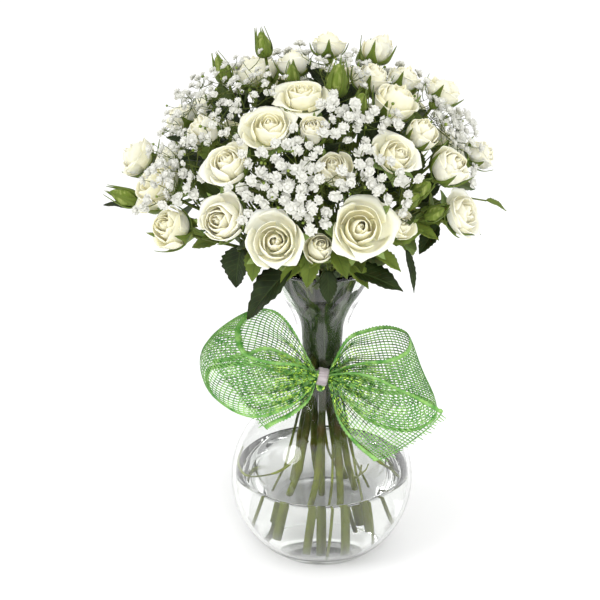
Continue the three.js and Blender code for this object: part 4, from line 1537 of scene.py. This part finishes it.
@dataclass
class SideShoots:
    """Thin side shoots that curl inside the ball of the vase."""

    radii: tuple = (1.0, 1.5, 0.9, 0.6, 0.6)
    steps: int = 16

    def build(self, finishes: Finishes) -> None:
        """Makes the shoots as one piece.

        Args:
            finishes: The object's materials.
        """
        piece = Piece("side_shoots")
        shares = [i / self.steps for i in range(self.steps + 1)]
        for points, radius in zip(SHOOTS, self.radii):
            line = [Vector(point) * MM for point in points]
            route = [catmull_rom(line, share) for share in shares]
            piece.tube(route, [radius * MM * lerp(1.1, 0.7, share) for share in shares], 8)
        piece.closed()
        piece.done([finishes.stem])


# Gypsophila

# Count of different florets
MOULDS = 4
# A steeper twig is dealt to a spray as if it had this lift
SIDE_LIFT = 40

# Azimuth and lift of each twig's end
TWIGS = (
    (-87, 50), (-75, 36), (-92, 62), (-46, 57), (-48, 42), (-56, 28), (-20, 38), (-8, 26), (1, 34),
    (12, 22), (14, 46), (22, 31), (26, 56), (78, 80), (95, 38), (80, 31), (-66, 12), (-15, 21),
    (128, 42), (150, 18), (180, 28), (-172, 50), (-146, 36), (-132, 12), (124, 20),
)


@dataclass
class FloretMould:
    """Mesh of one double floret, made once and copied.

    Each ring has its count of petals, their reach and their lift in radians.
    """

    seed: int
    radius: float = 4.7 * MM
    rings: tuple = ((6, 1.0, 0.05), (6, 0.92, 0.5), (5, 0.78, 0.95))
    ring_turn: float = 0.37
    petal_spread: float = 3.3
    heart_radius: float = 0.40
    heart_height: float = 0.34

    def make(self) -> bpy.types.Mesh:
        """Builds rings of crinkled petals that open upwards, round a lumpy heart.

        Returns:
            The mesh.
        """
        piece = Piece("floret")
        draw = random.Random(self.seed)
        for ring, (count, reach, lift) in enumerate(self.rings):
            for i in range(count):
                turn = math.tau * (i / count + self.ring_turn * ring) + draw.uniform(-0.25, 0.25)
                size = reach * draw.uniform(0.78, 1.08)
                rise = lift + draw.uniform(-0.25, 0.25)
                piece.sheet(2, 2, self.petal(turn, size, rise, self.petal_spread / count))
        middle = Vector((0, 0, self.heart_height * self.radius))
        # The heart takes the full along value, so none of the painted shade at the petals' feet
        for vert in piece.ball(middle, self.heart_radius * self.radius, 1):
            vert[piece.layers["along"]] = 1.0
            vert.co *= draw.uniform(0.82, 1.18)
        mesh = bpy.data.meshes.new("floret")
        piece.bm.to_mesh(mesh)
        piece.bm.free()
        return mesh

    def petal(self, turn: float, reach: float, lift: float, half: float) -> Surface:
        """Shape of one small petal.

        Args:
            turn: Where it stands round the floret, in radians.
            reach: How long it is, in shares of the floret's radius.
            lift: Angle above the level, in radians.
            half: How far it reaches round to each side, in radians.

        Returns:
            Function from across and along to a place.
        """
        def surface(u: float, v: float) -> Vector:
            """Place on the petal, with a notched end and crinkles.

            Args:
                u: Place across it, from -1 to 1.
                v: Place along it, from 0 to 1.

            Returns:
                The place.
            """
            notch = 0.80 if abs(u) < 0.1 and v > 0.9 else 1.0 - 0.08 * abs(u) * v
            out = self.radius * reach * (0.06 + 0.94 * v) * notch
            angle = turn + half * u * math.sin(math.pi * (0.15 + 0.6 * v))
            crinkle = 0.16 * u * u * v + 0.05 * math.sin(4 * u + 5 * v + turn)
            z = out * math.sin(lift) + self.radius * crinkle
            flat = out * math.cos(lift)
            return Vector((flat * math.cos(angle), flat * math.sin(angle), z))

        return surface


@dataclass
class GypsophilaSpray:
    """One stem with its twigs, and many florets and beads on hair-thin stalks."""

    seat: Seat
    layout: Layout
    heads: Sequence[Head]
    twigs: list[tuple[float, float]]
    moulds: list[bpy.types.Mesh]
    taken: list[Vector]
    florets_per_twig: int = 20
    airy_florets: int = 24
    scatter: float = 8.5
    room: float = 5.6 * MM
    hub_reach: float = 0.93
    open_view: float = 0.85
    stalk_rise: float = 5.0 * MM
    cut_height: float = 8.0 * MM
    bead_share: float = 0.14
    full_sizes: tuple = (0.78, 1.12)
    airy_sizes: tuple = (0.5, 0.8)
    hang: float = 0.006
    tries: int = 5
    petal_thickness: float = 0.16 * MM

    def build(self, finishes: Finishes) -> None:
        """Makes the florets and the green stalks.

        Args:
            finishes: The object's materials.
        """
        draw = random.Random(self.seat.name)
        florets = Piece(self.seat.name + "_florets")
        stalks = Piece(self.seat.name + "_stalks")
        route = self.layout.stem_route(self.seat, self.cut_height, self.layout.gyp_fork_high, 24)
        stalks.tube(route, [self.seat.radius * 0.95] * 25, 7)
        for i, (azimuth, lift) in enumerate(self.twigs):
            share = i / (len(self.twigs) - 1) if len(self.twigs) > 1 else 1.0
            height = lerp(self.layout.gyp_fork_low, self.layout.gyp_fork_high, share)
            hub = self.layout.on_dome(azimuth, lift, self.hub_reach)
            outward = (hub - self.layout.focus).normalized()
            branch = self.layout.branch(self.seat, height, hub, outward, 9)
            stalks.tube(branch, [lerp(0.6, 0.4, k / 9) * MM for k in range(10)], 5, 0.5)
            self.add_florets(florets, stalks, branch, azimuth, lift, draw)
        stalks.closed()
        stalks.done([finishes.stem], [self.seat.name])
        florets.done([finishes.floret], (), self.petal_thickness)

    def clear(self, place: Vector, room: float) -> bool:
        """Whether a floret fits at a place."""
        apart = all((place - other).length >= room for other in self.taken)
        return apart and not self.hides_bloom(place, room)

    def hides_bloom(self, place: Vector, room: float) -> bool:
        """Whether a place is in a bloom or in front of one.

        Args:
            place: The place.
            room: Width of what stands there.

        Returns:
            True where it would hide a bloom.
        """
        for head in self.heads:
            offset = place - head.centre
            rise = offset.dot(head.axis)
            aside = (offset - head.axis * rise).length
            near = offset.length < head.radius + 0.55 * room
            if near or (rise > 0 and aside < self.open_view * head.radius):
                return True
        return False

    def add_florets(self, florets: Piece, stalks: Piece, branch: Sequence[Vector], azimuth: float,
                    lift: float, draw: random.Random) -> None:
        """Scatters florets round the end of a twig, each on a stalk from the twig or an earlier stalk.

        Args:
            florets: Mesh that takes the florets.
            stalks: Mesh that takes the stalks and beads.
            branch: Points of the twig.
            azimuth: Azimuth of its end.
            lift: Lift of its end.
            draw: Source of the places.
        """
        placed = 0
        joints = list(branch[6:])
        airy = self.is_airy(azimuth, lift)
        wanted = self.airy_florets if airy else self.florets_per_twig
        sizes = self.airy_sizes if airy else self.full_sizes
        for _ in range(wanted * self.tries):
            if placed >= wanted:
                break
            turn = azimuth + draw.gauss(0, self.scatter) / max(0.35, math.cos(math.radians(lift)))
            place = self.layout.on_dome(turn, lift + draw.gauss(0, self.scatter), draw.uniform(0.99, 1.13))
            if place.z < self.layout.centre.z - self.hang or not self.clear(place, self.room * sizes[1]):
                continue
            route = self.stalk_route(joints, place)
            if any(self.hides_bloom(point, 0.0) for point in route[1:]):
                continue
            placed += 1
            self.taken.append(place)
            joints += [route[2], route[3]]
            stalks.tube(route, [lerp(0.28, 0.20, k / 5) * MM for k in range(6)], 4, 0.4)
            self.add_end(florets, stalks, place, sizes, draw)

    @staticmethod
    def is_airy(azimuth: float, lift: float) -> bool:
        """Whether a twig ends on top or at the upper left, where the florets are small and loose."""
        return lift > 70 or (-100 < azimuth < -40 and lift > 30)

    def stalk_route(self, joints: Sequence[Vector], place: Vector) -> list[Vector]:
        """Route of a stalk that rises to a floret from the nearest joint under it.

        Args:
            joints: Places that it may grow from.
            place: Foot of the floret.

        Returns:
            Its points.
        """
        axis = (place - self.layout.centre).normalized()
        under = [joint for joint in joints if (place - joint).dot(axis) > self.stalk_rise]
        root = min(under or joints, key=lambda joint: (place - joint).length)
        reach = (place - root).length
        first = root.lerp(place, 0.3) - axis * reach * 0.15
        second = place - axis * reach * 0.3
        return [bezier(root, first, second, place, k / 5) for k in range(6)]

    def add_end(self, florets: Piece, stalks: Piece, place: Vector, sizes: tuple[float, float],
                draw: random.Random) -> None:
        """Adds one floret or bead at the end of a stalk.

        Args:
            florets: Mesh that takes a floret.
            stalks: Mesh that takes a bead.
            place: End of the stalk.
            sizes: Smallest and largest size of a floret.
            draw: Source of the choice, lean and size.
        """
        axis = (place - self.layout.centre).normalized()
        if draw.random() < self.bead_share:
            stalks.ball(place, draw.uniform(0.9, 1.4) * MM, 1, 0.9)
            return
        size = draw.uniform(*sizes)
        lean = (axis + Vector((draw.uniform(-0.5, 0.5) for _ in range(3)))).normalized()
        matrix = Matrix.Translation(place) @ turn_to(lean, draw.random() * math.tau) @ Matrix.Scale(size, 4)
        start = len(florets.bm.verts)
        florets.bm.from_mesh(draw.choice(self.moulds))
        florets.bm.verts.ensure_lookup_table()
        bmesh.ops.transform(florets.bm, matrix=matrix, verts=florets.bm.verts[start:])


# Net bow

class Strip(Enum):
    """The four parts of the bow, as points on the upper and lower selvage in mm from the knot."""

    LEFT_LOOP = (
        ((-1, 1.5, 3.6), (-5, 2.2, 4), (-18, 7, 30), (-32, 22, 40), (-47, 20, 42), (-57, 5, 36),
         (-52, -14, 26), (-36, -18, 21), (-18, -11, 15), (-5, -1.4, 4), (-1, -1, 3.6)),
        ((-1, 1.5, -3.6), (-5, 2.2, -4), (-20, 9, -6), (-44, 22, -4), (-64, 19, -2), (-79, 4, 1),
         (-74, -14, -10), (-50, -22, -21), (-24, -14, -17), (-5, -1.4, -4), (-1, -1, -3.6)))
    RIGHT_LOOP = (
        ((1, 1.5, 3.6), (5, 2.2, 4), (17, 7, 26), (31, 18, 28), (46, 16, 31), (59, 4, 31),
         (58, -12, 26), (44, -18, 22), (26, -14, 18), (5, -1.4, 4), (1, -1, 3.6)),
        ((1, 1.5, -3.6), (5, 2.2, -4), (20, 9, -12), (42, 20, -22), (62, 18, -24), (78, 4, -26),
         (76, -12, -29), (58, -20, -33), (30, -16, -26), (5, -1.4, -4), (1, -1, -3.6)))
    LEFT_TAIL = (
        ((-1, -2.8, 2.6), (-4.6, -3.4, 3), (-20, -2, 16), (-39, -4, 25), (-52, -6, 22), (-77, -8, 17)),
        ((-1, -2.8, -2.6), (-4.6, -3.4, -3), (-10, -9, -15), (-22, -14, -24), (-31, -16, -28),
         (-39, -18, -32)))
    RIGHT_TAIL = (
        ((1, -2.8, 2.6), (4.6, -3.4, 3), (22, -18, 12.6), (38, -26, 12.5), (52, -29, 5.5), (83, -30, -11)),
        ((1, -2.8, -2.6), (4.6, -3.4, -3), (7, -12, -18), (13, -19, -30), (23, -23, -41), (36, -27, -53)))


# Cross-sections of the two bands, as distance out from the axis and height in mm
NECK_BAND = ((18.0, -2.3), (18.8, -2.6), (19.2, -1.5), (19.0, 0), (19.2, 1.5), (18.8, 2.6), (18.0, 2.3))
KNOT_BAND = ((5.2, -3.3), (5.9, -3.6), (6.4, -2.2), (6.1, 0), (6.4, 2.2), (5.9, 3.6), (5.2, 3.3))


@dataclass
class NetBow:
    """A bow of green net ribbon with solid selvages, held to the neck by a pale band."""

    knot: Vector = Vector((0, -0.0244, 0.143))
    strands: int = 24
    pitch: float = 2.7 * MM
    thread: float = 0.95 * MM
    ribbon_width: float = 0.060
    selvage: float = 0.05
    selvage_thickness: float = 0.5 * MM
    pleat: float = 1.6 * MM
    billow: float = 2.0 * MM
    bulges: tuple = (12 * MM, 3 * MM, 0.0, 4 * MM)
    tooth: float = 0.018
    samples: int = 200
    seed: int = 5
    knot_fold: tuple = (-1.4, 1.0, -8.6)
    tie_tilt: float = 14.0

    def thread_area(self, length: float) -> float:
        """Area that the threads of the net cover when the ribbon lies flat.

        Args:
            length: Length of the ribbon in metres.

        Returns:
            Area in square metres.
        """
        width = self.ribbon_width * (1 - 2 * self.selvage)
        across, along = self.thread * self.strands / width, self.thread / self.pitch
        return width * length * (1 - (1 - across) * (1 - along))

    def build(self, finishes: Finishes) -> None:
        """Makes the net, its selvages, the knot and the band.

        Args:
            finishes: The object's materials.
        """
        net = Piece("bow_net")
        edges = Piece("bow_selvage")
        fringe = Piece("bow_fringe")
        draw = random.Random(self.seed)
        length = 0.0
        for number, strip in enumerate(Strip):
            shape, run = self.surface(strip, number)
            length += run
            rows = round(run / self.pitch)
            self.add_net(net, shape, rows)
            self.add_selvages(edges, shape, 2 * rows)
            if strip in (Strip.LEFT_TAIL, Strip.RIGHT_TAIL):
                self.add_fringe(fringe, shape, draw)
        bow = net.done([finishes.net], ["bow_ribbon"])
        selvages = edges.done([finishes.net], (), self.selvage_thickness)
        fringe.closed()
        ends = fringe.done([finishes.net])
        round(self.thread_area(length), 5)
        log.info("ribbon length %.3f m", length)
        self.add_knot(finishes)
        self.add_tie(finishes)

    def add_net(self, net: Piece, shape: Surface, rows: int) -> None:
        """Adds the threads of one strip, between its selvages.

        Args:
            net: Mesh that takes them.
            shape: Surface of the strip.
            rows: Count of meshes along it.
        """
        inner = 1 - 2 * self.selvage
        faces = net.sheet(self.strands, rows, lambda u, v: shape(u * inner, v))
        self.set_glints_and_painted_shade(net, faces)
        bmesh.ops.wireframe(net.bm, faces=faces, thickness=self.thread, use_replace=True,
                            use_boundary=True, use_even_offset=False)

    def add_selvages(self, edges: Piece, shape: Surface, rows: int) -> None:
        """Adds the closed edge at each side of one strip.

        Args:
            edges: Mesh that takes them.
            shape: Surface of the strip.
            rows: Count of teeth and gaps along it.
        """
        for side in (-1, 1):
            edges.sheet(2, rows, lambda u, v, side=side: shape(self.edge(u, v, side, rows), v), 0.1)

    def add_fringe(self, fringe: Piece, shape: Surface, draw: random.Random) -> None:
        """Adds the loose thread ends at the cut end of a tail.

        Args:
            fringe: Mesh that takes them.
            shape: Surface of the tail.
            draw: Source of their lengths and sway.
        """
        for i in range(self.strands):
            u = (2 * (i + 0.5) / self.strands - 1) * (1 - 2 * self.selvage)
            start = shape(u, 0.99)
            ahead = (shape(u, 1.0) - shape(u, 0.95)).normalized()
            end = start + ahead * draw.uniform(2.0, 5.0) * MM
            sway = Vector((draw.uniform(-1, 1), draw.uniform(-1, 1), draw.uniform(-1, 1))) * 0.9 * MM
            fringe.tube([start, start.lerp(end, 0.5), end + sway], [0.42 * MM, 0.36 * MM, 0.28 * MM], 5, 0.1)

    def edge(self, u: float, v: float, side: int, rows: int) -> float:
        """Place across the ribbon of a point of a selvage, whose outer edge is finely toothed.

        Args:
            u: Place across the selvage, from -1 to 1.
            v: Place along it, from 0 to 1.
            side: Which selvage, -1 or 1.
            rows: Count of teeth and gaps along it.

        Returns:
            Place across the whole ribbon, near -1 or 1.
        """
        inner = 1 - 2 * self.selvage
        outer = 1.0
        if u * side > 0.99:
            outer += self.tooth if round(v * rows) % 2 else -self.tooth
        return side * lerp(inner, outer, (u * side + 1) / 2)

    def set_glints_and_painted_shade(self, net: Piece, faces: Sequence[bmesh.types.BMFace]) -> None:
        """Marks how near each point is to the knot, where the metallic glints and the painted shade are.

        Args:
            net: Mesh of the net.
            faces: Its newest faces.
        """
        for vert in {v for face in faces for v in face.verts}:
            away = (vert.co - self.knot).length
            vert[net.layers["tone"]] = 1 - smoothstep(away, 0.01, 0.06)

    def surface(self, strip: Strip, number: int) -> tuple[Surface, float]:
        """Surface of one strip and its length.

        Args:
            strip: Which part of the bow.
            number: Its place in the order, which sets its ripples.

        Returns:
            Function from across (-1 to 1) and along (0 to 1) to a place, and the length in metres.
        """
        upper, lower = ([Vector(point) * MM + self.knot for point in side] for side in strip.value)
        shares = [i / self.samples for i in range(self.samples + 1)]
        line = [catmull_rom(upper, share).lerp(catmull_rom(lower, share), 0.5) for share in shares]
        runs = [0.0]
        for a, b in zip(line, line[1:]):
            runs.append(runs[-1] + (b - a).length)

        def even(share: float) -> float:
            """Curve parameter at a share of the length.

            Args:
                share: The share, from 0 to 1.

            Returns:
                The parameter, from 0 to 1.
            """
            target = share * runs[-1]
            i = max(k for k in range(len(runs)) if runs[k] <= target + 1e-12)
            if i >= len(runs) - 1:
                return 1.0
            return (i + (target - runs[i]) / (runs[i + 1] - runs[i])) / self.samples

        def shape(u: float, v: float) -> Vector:
            """Place on the strip, with pleats near the knot and a billow further out.

            Args:
                u: Place across it, from -1 to 1.
                v: Place along it, from 0 to 1.

            Returns:
                The place.
            """
            at = even(v)
            a = catmull_rom(upper, at)
            b = catmull_rom(lower, at)
            after = min(1, at + 0.01)
            before = max(0, at - 0.01)
            ahead = (catmull_rom(upper, after) + catmull_rom(lower, after)
                     - catmull_rom(upper, before) - catmull_rom(lower, before))
            normal = ahead.cross(b - a).normalized()
            middle = a.lerp(b, (u + 1) / 2)
            away = (middle - self.knot).length
            pleats = self.pleat * smoothstep(away, 0.0, 0.012) * (1 - smoothstep(away, 0.02, 0.06))
            wave = self.billow * smoothstep(away, 0.03, 0.06) * math.sin(2.2 * u + 9 * v + number)
            outward = Vector((middle.x - self.knot.x, 0, middle.z - self.knot.z)).normalized()
            bulge = self.bulges[number] * smoothstep(away, 0.035, 0.065) * (1 - abs(u) ** 3)
            ripple = pleats * math.sin(11 * u + number) + wave * (1 - 0.4 * u * u)
            return middle + normal * ripple + outward * bulge

        return shape, runs[-1]

    def add_knot(self, finishes: Finishes) -> None:
        """Makes the gathered ribbon inside the band.

        Args:
            finishes: The object's materials.
        """
        piece = Piece("bow_knot")
        across = Quaternion(Vector((0, 1, 0)), math.pi / 2)
        route = [self.knot + Vector((x * MM, 0, 0)) for x in (-4.4, -3, -1, 1, 3, 4.4)]
        # Full tone: the knot and the fold under it take the glints and the painted shade
        piece.tube(route, [r * MM for r in (3.6, 4.4, 4.7, 4.7, 4.4, 3.6)], 20, 1.0)
        for vert in piece.bm.verts:
            arm = vert.co - self.knot
            arm.rotate(across)
            vert.co += (vert.co - self.knot) * 0.05 * math.sin(7 * math.atan2(arm.y, arm.x))
        piece.ball(self.knot + Vector(self.knot_fold) * MM, 3.3 * MM, 2, 1.0)
        piece.closed()
        piece.done([finishes.net])

    def add_tie(self, finishes: Finishes) -> None:
        """Makes the band round the neck and the band round the knot.

        Args:
            finishes: The object's materials.
        """
        piece = Piece("bow_tie_band")
        across = Matrix.Rotation(math.pi / 2 + math.radians(self.tie_tilt), 4, "Y")
        self.add_band(piece, NECK_BAND, 72, Matrix.Translation((0, 0, self.knot.z)))
        self.add_band(piece, KNOT_BAND, 36, Matrix.Translation(self.knot) @ across)
        piece.closed()
        piece.done([finishes.tie], ["bow_tie"])

    @staticmethod
    def add_band(piece: Piece, outline: Sequence[tuple], steps: int, place: Matrix) -> None:
        """Adds one closed ring.

        Args:
            piece: Mesh that takes it.
            outline: Distance out and height in mm of the points of its cross-section.
            steps: Count of faces round it.
            place: Where it goes, with Z along its axis.
        """
        before = set(piece.bm.verts)
        verts = [piece.bm.verts.new(Vector((out, 0, height)) * MM) for out, height in outline]
        edges = [piece.bm.edges.new(pair) for pair in zip(verts, verts[1:] + verts[:1])]
        bmesh.ops.spin(piece.bm, geom=verts + edges, cent=(0, 0, 0), axis=UP, angle=math.tau,
                       steps=steps, use_merge=True)
        fresh = [vert for vert in piece.bm.verts if vert not in before]
        bmesh.ops.transform(piece.bm, matrix=place, verts=fresh)


# Studio

@dataclass(frozen=True)
class Panel:
    """A soft round light that faces the bouquet, and whether glass mirrors it."""

    name: str
    place: tuple[float, float, float]
    size: float
    power: float
    mirrored: bool = True


@dataclass
class Studio:
    """White floor, soft light and the camera at the photograph's angle."""

    camera_place: tuple = (-0.0156, -1.5, 0.871)
    camera_tilt: float = 65.6
    lens: float = 141.7
    floor_size: float = 12.0
    sky: float = 1.04
    sky_middle: tuple = rgba(1.0, 1.0, 1.0)
    sky_side: tuple = rgba(0.70, 0.71, 0.71)
    side_from: float = 0.86
    side_to: float = 0.97
    aim: Vector = Vector((0, 0, 0.22))
    panels: tuple[Panel, ...] = (
        Panel("key_light", (-1.9, -1.3, 2.2), size=1.3, power=24.0),
        Panel("fill_light", (1.7, -0.9, 1.2), size=1.2, power=2.4),
        Panel("front_light", (0.5, -2.4, 1.3), size=1.1, power=30.0, mirrored=False),
    )

    def build(self) -> None:
        """Makes the camera, floor and lights."""
        self.add_camera()
        self.add_floor()
        self.add_sky()
        for panel in self.panels:
            self.add_panel(panel)

    def add_camera(self) -> None:
        """Makes the camera and looks through it."""
        data = bpy.data.cameras.new("camera")
        data.lens = self.lens
        camera = bpy.data.objects.new("camera", data)
        camera.location = self.camera_place
        camera.rotation_euler = (math.radians(self.camera_tilt), 0, 0)
        bpy.context.scene.collection.objects.link(camera)
        bpy.context.scene.camera = camera

    def add_floor(self) -> None:
        """Makes the floor under the vase."""
        bm = bmesh.new()
        bmesh.ops.create_grid(bm, x_segments=1, y_segments=1, size=self.floor_size / 2)
        mesh = bpy.data.meshes.new("floor")
        bm.to_mesh(mesh)
        bm.free()
        mesh.materials.append(FloorFinish().make())
        floor = bpy.data.objects.new("floor", mesh)
        bpy.context.scene.collection.objects.link(floor)

    def add_sky(self) -> None:
        """Makes the white surround, darker at both sides so that the glass shows its edges."""
        world = bpy.data.worlds.new("surround")
        bpy.context.scene.world = world
        world.use_nodes = True
        tree = world.node_tree
        direction = tree.nodes.new("ShaderNodeTexCoord").outputs["Generated"]
        parts = tree.nodes.new("ShaderNodeSeparateXYZ")
        tree.links.new(direction, parts.inputs[0])
        side = tree.nodes.new("ShaderNodeMath")
        side.operation = "ABSOLUTE"
        tree.links.new(parts.outputs["X"], side.inputs[0])
        ramp = tree.nodes.new("ShaderNodeValToRGB")
        tree.links.new(side.outputs[0], ramp.inputs[0])
        middle, edge = ramp.color_ramp.elements
        middle.position = self.side_from
        middle.color = self.sky_middle
        edge.position = self.side_to
        edge.color = self.sky_side
        background = tree.nodes["Background"]
        tree.links.new(ramp.outputs[0], background.inputs[0])
        background.inputs[1].default_value = self.sky
        bpy.context.scene.view_settings.view_transform = "Standard"

    def add_panel(self, panel: Panel) -> None:
        """Adds one light, turned to the bouquet.

        Args:
            panel: The light.
        """
        data = bpy.data.lights.new(panel.name, "AREA")
        data.shape = "DISK"
        data.size = panel.size
        data.energy = panel.power
        light = bpy.data.objects.new(panel.name, data)
        light.location = panel.place
        light.visible_glossy = panel.mirrored
        light.visible_transmission = panel.mirrored
        ray = self.aim - Vector(panel.place)
        light.rotation_euler = ray.to_track_quat("-Z", "Y").to_euler()
        bpy.context.scene.collection.objects.link(light)


# Assembly

def read_roses(layout: Layout) -> list[Head]:
    """Reads the roses from the part's nodes, in the order of their numbers.

    Args:
        layout: Where the bouquet's branches come from.

    Returns:
        The roses.
    """
    names = [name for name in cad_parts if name.startswith("rose_") and "stem" not in name]
    names.sort(key=lambda name: int(name.split("_")[1]))
    return [read_head(name, seed, layout.focus) for seed, name in enumerate(names)]


def build_roses(heads: Sequence[Head], finishes: Finishes) -> None:
    """Makes the roses and the drops of dew that lie on them.

    Args:
        heads: The roses.
        finishes: The object's materials.
    """
    dew = Piece("dew")
    for head in heads:
        Rose(head).build(finishes, dew)
    drops = dew.done([finishes.water])
    drops.visible_shadow = False


def build_rose_stems(layout: Layout, heads: Sequence[Head], finishes: Finishes) -> None:
    """Makes the rose stems, each with the heads and leaves that are nearest to it.

    The leaves all grow from the stems round the middle one.

    Args:
        layout: Where the stems stand.
        heads: The roses and green buds.
        finishes: The object's materials.
    """
    seats = layout.rose_seats()
    leaves = outer_leaves() + inner_leaves(layout, heads)
    for seat in seats:
        own_heads = [head for head in heads if layout.nearest(head.centre, seats) == seat]
        own_leaves = [leaf for leaf in leaves if layout.nearest(leaf.foot, seats[1:]) == seat]
        RoseStem(seat, layout, own_heads, own_leaves).build(finishes)


def build_sprays(layout: Layout, heads: Sequence[Head], finishes: Finishes) -> None:
    """Makes the sprays, each with the twigs that are nearest to it.

    Args:
        layout: Where the sprays stand.
        heads: The roses and green buds, which the florets leave in view.
        finishes: The object's materials.
    """
    seats = layout.spray_seats()
    moulds = [FloretMould(seed).make() for seed in range(MOULDS)]
    taken: list[Vector] = []
    sides = [layout.on_dome(azimuth, min(lift, SIDE_LIFT), 1) for azimuth, lift in TWIGS]
    for seat in seats:
        twigs = [twig for twig, side in zip(TWIGS, sides) if layout.nearest(side, seats) == seat]
        GypsophilaSpray(seat, layout, heads, twigs, moulds, taken).build(finishes)
    for mould in moulds:
        bpy.data.meshes.remove(mould)
    log.info("%d florets", len(taken))


def main() -> None:
    """Builds every part of the centerpiece in order."""
    logging.basicConfig(level=logging.INFO, format="%(message)s")
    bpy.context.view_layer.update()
    Studio().build()
    finishes = Finishes()
    layout = Layout()
    vase = Vase()
    vase.build(finishes)
    roses = read_roses(layout)
    build_roses(roses, finishes)
    heads = roses + green_buds(layout)
    build_rose_stems(layout, heads, finishes)
    FlareLeaves(vase).build(finishes)
    SideShoots().build(finishes)
    build_sprays(layout, heads, finishes)
    NetBow().build(finishes)


if __name__ == "__main__":
    main()
